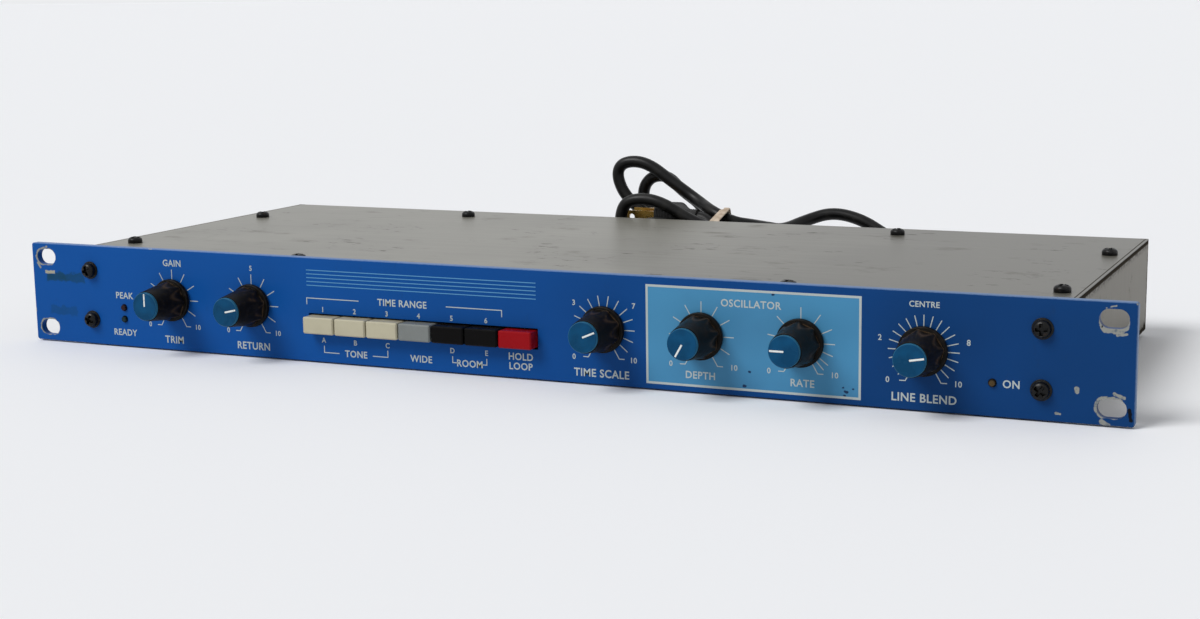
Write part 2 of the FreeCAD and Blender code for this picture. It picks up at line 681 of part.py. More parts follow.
def standoff_places():
    """Three standoffs along the front of the board and three along the rear."""
    x0 = BOARD_LEFT + STANDOFF_INSET
    x1 = BOARD_RIGHT - STANDOFF_INSET
    y0 = BOARD_FRONT_Y + 3 * STANDOFF_INSET
    y1 = BOARD_REAR_Y - STANDOFF_INSET
    return [(x, y) for x in (x0, (x0 + x1) / 2, x1) for y in (y0, y1)]


def circuit_board():
    """The main board, with a tongue along the front that reaches the last control."""
    board = box(BOARD_LEFT, BOARD_RIGHT, BOARD_FRONT_Y, BOARD_REAR_Y, BOARD_BOTTOM, BOARD_TOP)
    tongue = box(BOARD_RIGHT, BOARD_TONGUE_X, BOARD_FRONT_Y, BOARD_TONGUE_Y, BOARD_BOTTOM, BOARD_TOP)
    board = board.fuse(tongue).removeSplitter()
    radius = SCREW_RADIUS + CLEARANCE_HOLE_EXTRA
    holes = [post(x, y, radius, BOARD_BOTTOM - 1, BOARD_TOP + 1) for x, y in standoff_places()]
    return board.cut(holes)


def board_standoffs():
    """Pillars from the bottom cover to the board, each with its screw."""
    solids = []
    depth = BOARD_SCREW_LENGTH - BOARD_THICKNESS
    for x, y in standoff_places():
        pillar = post(x, y, STANDOFF_RADIUS, INNER_BOTTOM, BOARD_BOTTOM)
        bore_radius = SCREW_RADIUS + THREAD_HOLE_EXTRA
        pillar = pillar.cut(post(x, y, bore_radius, BOARD_BOTTOM - depth, BOARD_BOTTOM + 1))
        shank = post(x, y, SCREW_RADIUS, BOARD_TOP - BOARD_SCREW_LENGTH, BOARD_TOP)
        head_top = BOARD_TOP + BOARD_SCREW_HEAD_HEIGHT
        head = post(x, y, BOARD_SCREW_HEAD_RADIUS, BOARD_TOP, head_top)
        solids += [pillar, shank.fuse(head)]
    return solids


def chips():
    """Rows of dual in-line packages, each with its end notch."""
    solids = []
    for column in range(CHIP_COLUMNS):
        for row in range(CHIP_ROWS):
            x = CHIP_LEFT + CHIP_PITCH_X * column
            y = CHIP_FRONT_Y + CHIP_PITCH_Y * row
            body = box(x, x + CHIP_LENGTH, y, y + CHIP_WIDTH, BOARD_TOP, BOARD_TOP + CHIP_HEIGHT)
            middle = y + CHIP_WIDTH / 2
            notch = box(x - 1, x + CHIP_NOTCH_RADIUS, middle - CHIP_NOTCH_RADIUS,
                        middle + CHIP_NOTCH_RADIUS, BOARD_TOP + CHIP_HEIGHT / 2,
                        BOARD_TOP + CHIP_HEIGHT + 1)
            solids.append(body.cut(notch))
    return solids


def filter_capacitors():
    solids = []
    for column in range(CAPACITOR_GRID[0]):
        for row in range(CAPACITOR_GRID[1]):
            x = CAPACITOR_LAST[0] - CAPACITOR_PITCH[0] * column
            y = CAPACITOR_LAST[1] - CAPACITOR_PITCH[1] * row
            solids.append(post(x, y, CAPACITOR_RADIUS, BOARD_TOP, BOARD_TOP + CAPACITOR_HEIGHT))
    return solids


def heat_sink():
    """A finned plate on the board with two regulators against it."""
    top = BOARD_TOP + HEAT_SINK_HEIGHT
    rear = HEAT_SINK_REAR_Y
    plate = box(HEAT_SINK_LEFT, HEAT_SINK_RIGHT, HEAT_SINK_Y, rear, BOARD_TOP, top)
    pitch = (HEAT_SINK_LENGTH - HEAT_SINK_THICKNESS) / (HEAT_SINK_FINS - 1)
    fins = []
    for index in range(HEAT_SINK_FINS):
        x = HEAT_SINK_LEFT + pitch * index
        fins.append(box(x, x + HEAT_SINK_THICKNESS, rear, rear + HEAT_SINK_FIN, BOARD_TOP, top))
    solids = [plate.fuse(fins).removeSplitter()]
    width, depth, height = REGULATOR_SIZE
    middle = (HEAT_SINK_LEFT + HEAT_SINK_RIGHT) / 2
    for side in (-1, 1):
        low = middle + side * REGULATOR_SPACING / 2 - width / 2
        solids.append(box(low, low + width, HEAT_SINK_Y - depth, HEAT_SINK_Y,
                          BOARD_TOP, BOARD_TOP + height))
    return solids


def transformer_core():
    """The laminated core with two windows, on two feet that stand on the bottom cover."""
    x, y = TRANSFORMER_CENTRE
    z0 = INNER_BOTTOM
    z1 = z0 + CORE_HEIGHT
    y0 = y - CORE_STACK / 2
    y1 = y + CORE_STACK / 2
    core = box(x - CORE_WIDTH / 2, x + CORE_WIDTH / 2, y0, y1, z0, z1)
    window_width = (CORE_WIDTH - 4 * CORE_LIMB) / 2
    cuts = []
    for side in (-1, 1):
        centre = x + side * (CORE_LIMB + window_width / 2)
        cuts.append(box(centre - window_width / 2, centre + window_width / 2,
                        y0 - 1, y1 + 1, z0 + CORE_LIMB, z1 - CORE_LIMB))
    feet = []
    for side in (-1, 1):
        edge = x + side * CORE_WIDTH / 2
        low, high = sorted((edge, edge + side * CORE_FOOT_LENGTH))
        feet.append(box(low, high, y0, y1, z0, z0 + CORE_FOOT_THICKNESS))
    return core.cut(cuts).fuse(feet).removeSplitter()


def transformer_coil():
    """The winding around the middle limb, filling both windows."""
    x, y = TRANSFORMER_CENTRE
    z0 = INNER_BOTTOM + CORE_LIMB + COIL_CLEARANCE
    z1 = INNER_BOTTOM + CORE_HEIGHT - CORE_LIMB - COIL_CLEARANCE
    window_width = (CORE_WIDTH - 4 * CORE_LIMB) / 2
    reach_x = CORE_LIMB + window_width - COIL_CLEARANCE
    reach_y = CORE_STACK / 2 + COIL_OVERHANG
    outer = box(x - reach_x, x + reach_x, y - reach_y, y + reach_y, z0, z1)
    limb_x = CORE_LIMB + COIL_CLEARANCE
    limb_y = CORE_STACK / 2 + COIL_CLEARANCE
    return outer.cut(box(x - limb_x, x + limb_x, y - limb_y, y + limb_y, z0 - 1, z1 + 1))


def rear_jacks():
    """Quarter-inch sockets: a body behind the panel, a bushing through it and a nut."""
    solids = []
    mouth = CASE_DEPTH + JACK_BUSHING_REACH
    for x in jack_places():
        body = rod(x, JACK_Z, JACK_BODY_RADIUS, REAR_WALL_Y - JACK_BODY_LENGTH, REAR_WALL_Y)
        bushing = rod(x, JACK_Z, JACK_BUSHING_RADIUS, REAR_WALL_Y, mouth)
        bore = rod(x, JACK_Z, JACK_BORE_RADIUS, mouth - JACK_BORE_LENGTH, mouth + 1)
        solids.append(body.fuse(bushing).cut(bore))
        rear = CASE_DEPTH + JACK_NUT_THICKNESS
        nut = hexagon(x, JACK_Z, JACK_NUT_ACROSS_FLATS, CASE_DEPTH, rear)
        hole = rod(x, JACK_Z, JACK_BUSHING_RADIUS, CASE_DEPTH - 1, rear + 1)
        solids.append(nut.cut(hole))
    return solids


def fuse_holder():
    """A panel fuse holder: body, collar and slotted cap."""
    start = REAR_WALL_Y - FUSE_BODY_LENGTH
    collar_end = CASE_DEPTH + FUSE_COLLAR_THICKNESS
    cap_end = collar_end + FUSE_CAP_HEIGHT
    body = rod(FUSE_X, FUSE_Z, FUSE_BODY_RADIUS, start, CASE_DEPTH)
    collar = rod(FUSE_X, FUSE_Z, FUSE_COLLAR_RADIUS, CASE_DEPTH, collar_end)
    cap = rod(FUSE_X, FUSE_Z, FUSE_CAP_RADIUS, collar_end, cap_end)
    width = 3 * FUSE_CAP_RADIUS
    cut = centred_box(FUSE_X, FUSE_Z, width, FUSE_SLOT_WIDTH, cap_end - FUSE_SLOT_DEPTH, cap_end + 1)
    return body.fuse([collar, cap]).cut(cut)


def strain_relief():
    """A grommet in the rear panel with a ribbed, tapered tail for the lead."""
    base = RELIEF_FLANGE_THICKNESS
    outline = [
        (0, -WALL_SHEET - RELIEF_BARREL_LENGTH),
        (RELIEF_BARREL_RADIUS, -WALL_SHEET - RELIEF_BARREL_LENGTH),
        (RELIEF_BARREL_RADIUS, 0),
        (RELIEF_FLANGE_RADIUS, 0),
        (RELIEF_FLANGE_RADIUS, base),
        (RELIEF_CONE_RADIUS, base),
    ]
    length = RELIEF_REACH - base
    pitch = length / (RELIEF_RIB_COUNT + 1)
    slope = (RELIEF_CONE_RADIUS - RELIEF_TIP_RADIUS) / length
    for index in range(1, RELIEF_RIB_COUNT + 1):
        start = pitch * index - RELIEF_RIB_WIDTH / 2
        end = start + RELIEF_RIB_WIDTH
        start_radius = RELIEF_CONE_RADIUS - slope * start
        end_radius = RELIEF_CONE_RADIUS - slope * end
        outline.append((start_radius, base + start))
        outline.append((start_radius - RELIEF_RIB_DEPTH, base + start))
        outline.append((end_radius - RELIEF_RIB_DEPTH, base + end))
        outline.append((end_radius, base + end))
    outline.append((RELIEF_TIP_RADIUS, RELIEF_REACH))
    outline.append((0, RELIEF_REACH))
    return turned(outline, V(RELIEF_X, CASE_DEPTH, RELIEF_Z), AXIS_Y)


def tangent_arc(start, corner, end):
    """The arc from start to end that is tangent to both legs of the corner."""
    first = (corner - start).normalize()
    second = (end - corner).normalize()
    turn = first.getAngle(second)
    if turn < 1e-4:
        return Part.LineSegment(start, end).toShape()
    bisector = (second - first).normalize()
    leg = corner.distanceToPoint(start)
    radius = leg / math.tan(turn / 2)
    centre_distance = radius / math.cos(turn / 2)
    middle = corner + bisector * (centre_distance - radius)
    return Part.Arc(start, middle, end).toShape()


def rounded_route(points):
    """Straight runs joined by arcs, each as large as its two runs allow."""
    points = [V(*point) for point in points]
    edges = []
    here = points[0]
    for before, corner, after in zip(points, points[1:], points[2:]):
        trim = LEAD_ARC_SHARE * min(corner.distanceToPoint(before), corner.distanceToPoint(after))
        start = corner + (before - corner).normalize() * trim
        end = corner + (after - corner).normalize() * trim
        edges.append(Part.LineSegment(here, start).toShape())
        edges.append(tangent_arc(start, corner, end))
        turn = (corner - before).getAngle(after - corner)
        print("  lead bend radius %.1f mm" % (trim / math.tan(turn / 2)))
        here = end
    edges.append(Part.LineSegment(here, points[-1]).toShape())
    length = sum(edge.Length for edge in edges)
    return Part.Wire(edges), length


def cord_lead():
    """The free stretch of the lead from the strain relief to the hank."""
    path, length = rounded_route(LEAD_ROUTE)
    start = V(*LEAD_ROUTE[0])
    direction = V(*LEAD_ROUTE[1]) - start
    section = Part.Wire(Part.Circle(start, direction, CORD_RADIUS).toShape())
    tube = path.makePipeShell([section], True, False)
    expected = math.pi * CORD_RADIUS ** 2 * length
    print("  lead length %.1f mm, volume ratio %.4f" % (length, tube.Volume / expected))
    return tube


def hank_stations():
    """Points of the wound stretch with their directions, outside turn first.

    Each turn runs over the waist to the left loop, back under the waist and round
    the right loop. The rear layer winds inwards and has the tall left loops, the
    front layer winds outwards and has the low ones, and the tail ends at the plug.
    """
    stations = []

    def add(x, y, z, dx, dy, dz):
        stations.append((V(x, y, z), V(dx, dy, dz).normalize()))

    end = V(*LEAD_ROUTE[-1])
    heading = (end - V(*LEAD_ROUTE[-2])).normalize()
    for start in (end, end + heading * CORD_DIAMETER):
        add(start.x, start.y, start.z, heading.x, heading.y, heading.z)
    floor = HANK_FLOOR_Z
    for turn in (0, 1):
        left_y = TALL_LOOP_Y + TALL_LOOP_STEP_Y * turn
        low = floor + 7.6 * turn
        add(WAIST_X, REAR_LAYER_Y, WAIST_TOP_REAR_Z - 8.2 * turn, -1, 0.12, 0.4 - 0.1 * turn)
        add(-13.0 - 2 * turn, left_y, 28.6 - 2 * turn, -1, 0, 0.66)
        add(-44.9 + 11.9 * turn, left_y, 43.6 - 8.3 * turn, -1, 0, 0)
        add(-51.6 + 12.6 * turn, left_y, 36.9 - 7.9 * turn, 0, 0, -1)
        add(-24.0, left_y, 7.0 + 4.0 * turn, 1, 0, -1.1 + 0.1 * turn)
        add(-5.0 + 1.5 * turn, left_y - 1.2 - 3.0 * turn, -4.5 + 7.6 * turn, 1, -0.3, -0.1)
        add(WAIST_X, REAR_LAYER_Y, WAIST_LOW_REAR_Z + 7.6 * turn, 1, 0, -0.1)
        add(64.0, REAR_LAYER_Y + 1, low, 1, 0, 0)
        if turn == 0:
            add(80.0, REAR_LAYER_Y + 1, low, 1, 0, 0)
            add(92.0, REAR_LAYER_Y + 1, -8.0, 0, 0, 1)
            add(60.0, REAR_LAYER_Y + 1, 4.4, -1, 0, 0)
        else:
            add(84.0, TAIL_LAYER_Y, -4.0, 0, -0.35, 1)
            add(60.0, FRONT_LAYER_Y, 4.2, -1, 0, 0)
    for turn in (1, 0):
        low = floor + 7.4 * turn
        add(WAIST_X, FRONT_LAYER_Y, WAIST_TOP_FRONT_Z - 7.7 * turn, -1, 0, 0.24 - 0.13 * turn)
        add(-28.9 + 6.4 * turn, LOW_LOOP_Y, 27.8 - 11.4 * turn, -1, 0, 0)
        add(-36.6 + 6.9 * turn, LOW_LOOP_Y, 19.5 - 14.0 * turn, 0, 0, -1)
        add(-24.0 + 5.0 * turn, LOW_LOOP_Y, floor + 8.2 * turn, 1, 0, 0)
        add(WAIST_X, FRONT_LAYER_Y, WAIST_LOW_FRONT_Z + 8.2 * turn, 1, 0, 0)
        add(50.0, FRONT_LAYER_Y, low, 1, 0, 0)
        if turn == 1:
            add(78.0, FRONT_LAYER_Y, low, 1, 0, 0)
            add(90.0, FRONT_LAYER_Y, -1.0, 0, 0, 1)
            add(60.0, FRONT_LAYER_Y, 11.8, -1, 0, 0)
        else:
            add(84.0, FRONT_LAYER_Y, low, 1, 0, 0)
            add(99.5, TAIL_LAYER_Y - 3, -2.0, 0, 0.12, 1)
            add(64.0, TAIL_LAYER_Y + 0.5, 11.5, -1, 0, 0)
    add(WAIST_X, TAIL_LAYER_Y, 13.6, -1, 0.05, 0.1)
    add(*PLUG_ENTRY, -1, 0, 0)
    return stations


def biarc(start, start_way, end, end_way):
    """Two arcs, tangent to each other, that join two points with given directions."""
    across = end - start
    ways = start_way + end_way
    a = 2 * (1 - start_way.dot(end_way))
    b = 2 * across.dot(ways)
    c = -across.dot(across)
    if abs(a) < 1e-9:
        leg = across.dot(across) / (4 * across.dot(start_way))
    else:
        leg = (math.sqrt(b * b - 4 * a * c) - b) / (2 * a)
    first = start + start_way * leg
    second = end - end_way * leg
    middle = (first + second) * 0.5
    return [tangent_arc(start, first, middle), tangent_arc(middle, second, end)]


def least_gap(edges, step):
    """The least clear distance between stretches of the cord that aren't neighbours."""
    samples = []
    walked = 0
    for edge in edges:
        count = max(2, int(edge.Length / step))
        for index in range(count):
            share = index / count
            at = edge.FirstParameter + (edge.LastParameter - edge.FirstParameter) * share
            samples.append((walked + edge.Length * share, edge.valueAt(at)))
        walked += edge.Length
    least = 1e9
    for index, (reach, point) in enumerate(samples):
        for other_reach, other in samples[index + 1:]:
            if other_reach - reach > 4 * CORD_DIAMETER:
                least = min(least, point.distanceToPoint(other))
    return least - CORD_DIAMETER, walked


def cord_hank():
    """The wound stretch: one unbroken tube with flat sides, swept along its arcs."""
    stations = hank_stations()
    edges = []
    for (start, start_way), (end, end_way) in zip(stations, stations[1:]):
        edges += biarc(start, start_way, end, end_way)
    gap, length = least_gap(edges, CORD_DIAMETER / 4)
    start, way = stations[0]
    upright = way.cross(AXIS_Z).normalize()
    other = way.cross(upright).normalize()
    corners = []
    for index in range(CORD_SIDES):
        angle = 2 * math.pi * index / CORD_SIDES
        reach = upright * math.cos(angle) + other * math.sin(angle)
        corners.append(start + reach * CORD_RADIUS)
    section = Part.makePolygon(corners + corners[:1])
    tube = Part.Wire(edges).makePipeShell([section], True, False)
    print("  hank length %.1f mm, least gap %.2f mm" % (length, gap))
    return tube


def band_outline(radius):
    """A taut loop around the four corner strands of the waist, in the plane of X = 0."""
    strands = (
        (REAR_LAYER_Y, WAIST_TOP_REAR_Z),
        (FRONT_LAYER_Y, WAIST_TOP_FRONT_Z),
        (FRONT_LAYER_Y, WAIST_LOW_FRONT_Z),
        (REAR_LAYER_Y, WAIST_LOW_REAR_Z),
    )
    centres = [V(0, y, z) for y, z in strands]
    edges = []
    count = len(centres)
    outward = []
    for index in range(count):
        along = (centres[(index + 1) % count] - centres[index]).normalize()
        outward.append(along.cross(AXIS_X))
    for index in range(count):
        here = centres[index]
        after = centres[(index + 1) % count]
        way = outward[index]
        next_way = outward[(index + 1) % count]
        edges.append(Part.LineSegment(here + way * radius, after + way * radius).toShape())
        corner = (way + next_way).normalize()
        arc = Part.Arc(after + way * radius, after + corner * radius, after + next_way * radius)
        edges.append(arc.toShape())
    return Part.Wire(edges)


def cord_band():
    """The rubber band round the waist of the hank."""
    inner_radius = CORD_RADIUS + BAND_SLACK
    outer = Part.Face(band_outline(inner_radius + BAND_THICKNESS)).extrude(V(BAND_WIDTH, 0, 0))
    inner = Part.Face(band_outline(inner_radius)).extrude(V(BAND_WIDTH, 0, 0))
    band = outer.cut(inner)
    band.translate(V(WAIST_X - BAND_WIDTH / 2, 0, 0))
    return band


def plug_body():
    """A moulded plug, turned and then flattened on two sides."""
    profile = (
        (0, 0),
        (PLUG_NECK_RADIUS, 0),
        (PLUG_NECK_RADIUS, PLUG_NECK_LENGTH),
        (PLUG_RADIUS, PLUG_SHOULDER_LENGTH),
        (PLUG_RADIUS, PLUG_LENGTH - PLUG_FACE_CHAMFER),
        (PLUG_RADIUS - PLUG_FACE_CHAMFER, PLUG_LENGTH),
        (0, PLUG_LENGTH),
    )
    x, y, z = PLUG_ENTRY
    body = turned(profile, V(x, y, z), -AXIS_X)
    reach = 2 * PLUG_RADIUS
    flat = box(x - PLUG_LENGTH - 1, x + 1, y - reach, y + reach,
               z - PLUG_HALF_THICKNESS, z + PLUG_HALF_THICKNESS)
    body = body.common(flat)
    return body.cut(blade_solids(0))


def blade_solids(tip_reach):
    """The two flat blades, from their roots in the plug to their reach past its face."""
    x, y, z = PLUG_ENTRY
    face = x - PLUG_LENGTH
    blades = []
    for side in (-1, 1):
        middle = y + side * BLADE_SPACING / 2
        blades.append(box(face - tip_reach, face + BLADE_ROOT, middle - BLADE_THICKNESS / 2,
                          middle + BLADE_THICKNESS / 2, z - BLADE_WIDTH / 2,
                          z + BLADE_WIDTH / 2))
    return blades


def plug_blades():
    """The blades with the small round hole near each tip."""
    x, y, z = PLUG_ENTRY
    hole_x = x - PLUG_LENGTH - BLADE_LENGTH + BLADE_HOLE_FROM_TIP
    hole = rod(hole_x, z, BLADE_HOLE_RADIUS, y - BLADE_SPACING, y + BLADE_SPACING)
    return [blade.cut(hole) for blade in blade_solids(BLADE_LENGTH)]


def main():
    os.makedirs("parts", exist_ok=True)
    save("front_panel", front_panel())
    save("front_wall", front_wall())
    save("side_walls", side_walls())
    save("rear_panel", rear_panel())
    save("top_cover", cover(INNER_TOP))
    save("bottom_cover", cover(CASE_BOTTOM))
    save("cover_screws", cover_screws())
    save("panel_screws", panel_screws())
    save("potentiometers", potentiometers())
    for name, x, angle in DIALS:
        for piece, shape in (("knob", knob_body()), ("knob_cap", knob_cap()), ("shaft", knob_shaft())):
            shape.Placement = knob_placement(x, angle)
            save("%s_%s" % (name, piece), shape)
    for index, (x, z) in enumerate(button_places()):
        save("button_cap_%d" % (index + 1), button_cap(x, z))
        save("button_plunger_%d" % (index + 1), plunger(x, z))
    save("switch_bank", switch_bank())
    for name, x, z in LAMPS:
        save(name, lamp(x, z))
    save("circuit_board", circuit_board())
    save("board_standoffs", board_standoffs())
    save("chips", chips())
    save("filter_capacitors", filter_capacitors())
    save("heat_sink", heat_sink())
    save("transformer_core", transformer_core())
    save("transformer_coil", transformer_coil())
    save("rear_jacks", rear_jacks())
    save("fuse_holder", fuse_holder())
    save("strain_relief", strain_relief())
    save("cord_lead", cord_lead())
    save("cord_hank", cord_hank())
    save("cord_band", cord_band())
    save("plug_body", plug_body())
    save("plug_blades", plug_blades())


main()
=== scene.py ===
# %% [markdown]
# A rackmount delay unit, one rack unit high: a blue face plate with six knobs and a row of
# push buttons in front of a flat steel case, with its mains lead tied up behind it. The packed
# model gives the size and place of every part. This lesson dresses that frame: it gives each
# surface its finish and makes the pieces that need finer shapes than a machine drawing has.

# %% Load the frame
import math

import bmesh
import bpy
import numpy as np
from mathutils import Matrix, Vector


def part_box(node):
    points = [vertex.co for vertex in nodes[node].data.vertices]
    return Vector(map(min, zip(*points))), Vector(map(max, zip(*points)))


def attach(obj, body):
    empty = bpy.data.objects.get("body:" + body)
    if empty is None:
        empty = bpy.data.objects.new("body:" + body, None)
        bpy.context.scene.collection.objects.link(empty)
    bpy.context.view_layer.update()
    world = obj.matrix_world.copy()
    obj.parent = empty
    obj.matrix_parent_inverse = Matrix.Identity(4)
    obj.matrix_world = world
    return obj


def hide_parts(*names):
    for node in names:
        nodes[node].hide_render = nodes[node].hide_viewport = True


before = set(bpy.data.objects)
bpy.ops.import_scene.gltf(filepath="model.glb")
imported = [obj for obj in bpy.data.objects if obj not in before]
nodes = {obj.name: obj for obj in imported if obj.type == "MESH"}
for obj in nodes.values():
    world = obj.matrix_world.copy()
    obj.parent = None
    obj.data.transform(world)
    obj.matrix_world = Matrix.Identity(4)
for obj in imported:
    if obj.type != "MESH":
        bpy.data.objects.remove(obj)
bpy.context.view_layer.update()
scene = bpy.context.scene
scene.view_settings.view_transform = "Standard"
MM = 0.001


def add_object(name, data):
    """A new object at the origin of the scene."""
    added = bpy.data.objects.new(name, data)
    scene.collection.objects.link(added)
    return added


# %% [markdown]
# The camera stands in front of the right half of the panel, a little above it, and looks to the
# left. Its place was worked out from the rack slots and the corners of the panel, whose real
# sizes are standard. A camera is easiest to aim with three angles: azimuth turns it about the
# vertical, elevation tips it down, and roll leans it by less than a degree.

# %% Camera
CAMERA_PLACE = Vector((336.2, -650.1, 130.6)) * MM
AZIMUTH = math.radians(24.70)
ELEVATION = math.radians(9.784)
ROLL = math.radians(-0.843)
LENS_MM = 55.92
SENSOR_MM = 36.0


def add_camera():
    data = bpy.data.cameras.new("camera")
    data.lens = LENS_MM
    data.sensor_width = SENSOR_MM
    data.sensor_fit = "HORIZONTAL"
    camera = add_object("camera", data)
    around = Matrix.Rotation(AZIMUTH, 4, "Z")
    down = Matrix.Rotation(math.pi / 2 - ELEVATION, 4, "X")
    lean = Matrix.Rotation(ROLL, 4, "Z")
    camera.matrix_world = Matrix.Translation(CAMERA_PLACE) @ around @ down @ lean
    scene.camera = camera


add_camera()

# %% [markdown]
# A finish is a small graph of nodes that ends in one Principled shader. Writing out every link
# hides the idea, so a value in the graph is a Signal on which plain arithmetic works, and the
# class Finish gives each common step a short name. All patterns read Object coordinates, turned
# from metres into millimetres once, so that every size and place in a finish is written as it
# would be measured on the unit. Gloss that is the same all over a surface is set on the
# shader's own socket.


# %% A helper for finishes
def srgb(red, green, blue):
    """A linear colour from the three 0 to 255 numbers of a screen colour."""
    shares = np.array([red, green, blue]) / 255
    linear = np.where(shares <= 0.04045, shares / 12.92, ((shares + 0.055) / 1.055) ** 2.4)
    return (*linear.tolist(), 1.0)


def darker(colour, share):
    """A colour times a share."""
    return (*(share * number for number in colour[:3]), 1.0)


class Signal:
    """A value inside a finish. Arithmetic on it adds the node that works out the result."""

    def __init__(self, finish, socket):
        self.finish = finish
        self.socket = socket

    def __add__(self, other):
        return self.finish.math("ADD", self, other)

    def __mul__(self, other):
        return self.finish.math("MULTIPLY", self, other)

    def __sub__(self, other):
        return self.finish.math("SUBTRACT", self, other)

    def __rsub__(self, other):
        return self.finish.math("SUBTRACT", other, self)

    def __abs__(self):
        return self.finish.math("ABSOLUTE", self)


class Finish:
    """A material with one Principled shader, and short calls that add nodes before it."""

    def __init__(self, name, colour, roughness=0.5, metallic=0.0, specular=0.5):
        self.material = bpy.data.materials.new(name)
        self.material.use_nodes = True
        self.tree = self.material.node_tree
        self.shader = self.tree.nodes["Principled BSDF"]
        sockets = {"Base Color": colour, "Roughness": roughness, "Metallic": metallic,
                   "Specular IOR Level": specular}
        for socket, value in sockets.items():
            self.shader.inputs[socket].default_value = value
        metres = self.signal("TexCoord", {}, "Object")
        self.coordinates = self.vector("SCALE", metres, scale=1 / MM)

    def signal(self, kind, inputs, output=0, **settings):
        """Adds a node with its settings and inputs, and gives one of its outputs."""
        added = self.tree.nodes.new("ShaderNode" + kind)
        for key, value in settings.items():
            setattr(added, key, value)
        for key, value in inputs.items():
            if isinstance(value, Signal):
                self.tree.links.new(value.socket, added.inputs[key])
            else:
                added.inputs[key].default_value = value
        return Signal(self, added.outputs[output])

    def math(self, operation, first, second=0.0):
        return self.signal("Math", {0: first, 1: second}, operation=operation)

    def highest(self, first, *others):
        for other in others:
            first = self.math("MAXIMUM", first, other)
        return first

    def vector(self, operation, first, second=(0, 0, 0), scale=1.0, output="Vector"):
        inputs = {0: first, 1: second, 3: scale}
        return self.signal("VectorMath", inputs, output, operation=operation)

    def axes(self):
        """The X, Y and Z of the surface point, in millimetres."""
        return [self.signal("SeparateXYZ", {0: self.coordinates}, axis) for axis in "XYZ"]

    def radius(self, x, z):
        """The distance from a line along Y through a point of the panel."""
        flat = self.vector("MULTIPLY", self.coordinates, (1, 0, 1))
        return self.vector("DISTANCE", flat, (x, 0, z), output="Value")

    def noise(self, size, detail=2.0, stretch=(1, 1, 1), roughness=0.5):
        """Cloudy noise from 0 to 1, whose blots are about size millimetres across."""
        placed = self.signal("Mapping", {"Vector": self.coordinates, "Scale": stretch})
        inputs = {"Vector": placed, "Scale": 1 / size, "Detail": detail, "Roughness": roughness}
        return self.signal("TexNoise", inputs, "Fac")

    def ramp(self, value, low, high):
        """0 where value is under low, 1 where it is over high, smooth between them."""
        inputs = {"Value": value, "From Min": low, "From Max": high}
        return self.signal("MapRange", inputs, interpolation_type="SMOOTHSTEP")

    def clouds(self, low, high, size, detail=4.0, *shape):
        """A ramp over noise: blots of 1 with soft edges. Blots shrink as low and high rise."""
        return self.ramp(self.noise(size, detail, *shape), low, high)

    def swing(self, reach, size, detail=2.0):
        """Noise between minus reach and reach."""
        return self.blend(self.noise(size, detail), -reach, reach)

    def mix(self, share, first, second):
        """A colour that goes from first to second as share goes from 0 to 1."""
        return self.signal("Mix", {0: share, 6: first, 7: second}, 2, data_type="RGBA")

    def blend(self, share, first, second):
        """A number that goes from first to second as share goes from 0 to 1."""
        return self.signal("MapRange", {"Value": share, "To Min": first, "To Max": second})

    def bump(self, height, depth):
        """Lets a height from 0 to 1 stand depth millimetres out of the surface."""
        inputs = {"Height": height, "Distance": depth * MM, "Strength": 1.0}
        before = self.shader.inputs["Normal"]
        if before.is_linked:
            inputs["Normal"] = Signal(self, before.links[0].from_socket)
        self.send("Normal", self.signal("Bump", inputs))

    def send(self, name, signal):
        self.tree.links.new(signal.socket, self.shader.inputs[name])

    def surface(self, colour, share, roughness, grain, depth, detail=2.0):
        """Sends the colour, a roughness that follows the share if it has two ends, and a grain."""
        self.send("Base Color", colour)
        if len(roughness) == 2:
            self.send("Roughness", self.blend(share, *roughness))
        self.bump(self.noise(grain, detail), depth)
        return self


SOFT_CLOUDS = (0.35, 0.7)
FINE_GRAIN = (0.4, 0.01)


def mottled(name, colours, roughness, clouds, grain, **settings):
    """A plain finish: clouds of a second colour, with one roughness or one for each colour."""
    finish = Finish(name, colours[0], roughness[0], **settings)
    cloudy = finish.clouds(*clouds)
    return finish.surface(finish.mix(cloudy, *colours), cloudy, roughness, *grain)


def dress(name, finish):
    """Gives one frame node its finish."""
    node = nodes[name]
    node.data.materials.clear()
    node.data.materials.append(finish.material)


# %% [markdown]
# New pieces are grids of points: two parameters run along the rows and the columns, and numpy
# works out all the points at once. A grid that closes on itself has no seam, because its last
# column joins its first, and its open ends are closed with one flat face.


# %% A helper for surfaces
def grid_faces(rows, columns):
    """The four corners of every cell of a grid whose last column joins its first."""
    row, column = np.meshgrid(np.arange(rows - 1), np.arange(columns), indexing="ij")
    after = (column + 1) % columns
    corners = (row * columns + column, row * columns + after, (row + 1) * columns + after,
               (row + 1) * columns + column)
    return np.stack(corners, -1).reshape(-1, 4)


MERGE_DISTANCE = 1e-7
SHARP_ANGLE = math.radians(40)


def add_mesh(name, points, faces, finish, body, merge=True):
    """A closed mesh object from millimetre points, smooth but for edges over the sharp angle."""
    mesh = bpy.data.meshes.new(name)
    mesh.from_pydata((np.asarray(points) * MM).tolist(), [], [list(face) for face in faces])
    shape = bmesh.new()
    shape.from_mesh(mesh)
    if merge:
        bmesh.ops.remove_doubles(shape, verts=shape.verts, dist=MERGE_DISTANCE)
    bmesh.ops.recalc_face_normals(shape, faces=shape.faces)
    shape.to_mesh(mesh)
    shape.free()
    mesh.shade_smooth()
    mesh.set_sharp_from_angle(angle=SHARP_ANGLE)
    mesh.materials.append(finish.material)
    piece = add_object(name, mesh)
    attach(piece, body)
    return piece


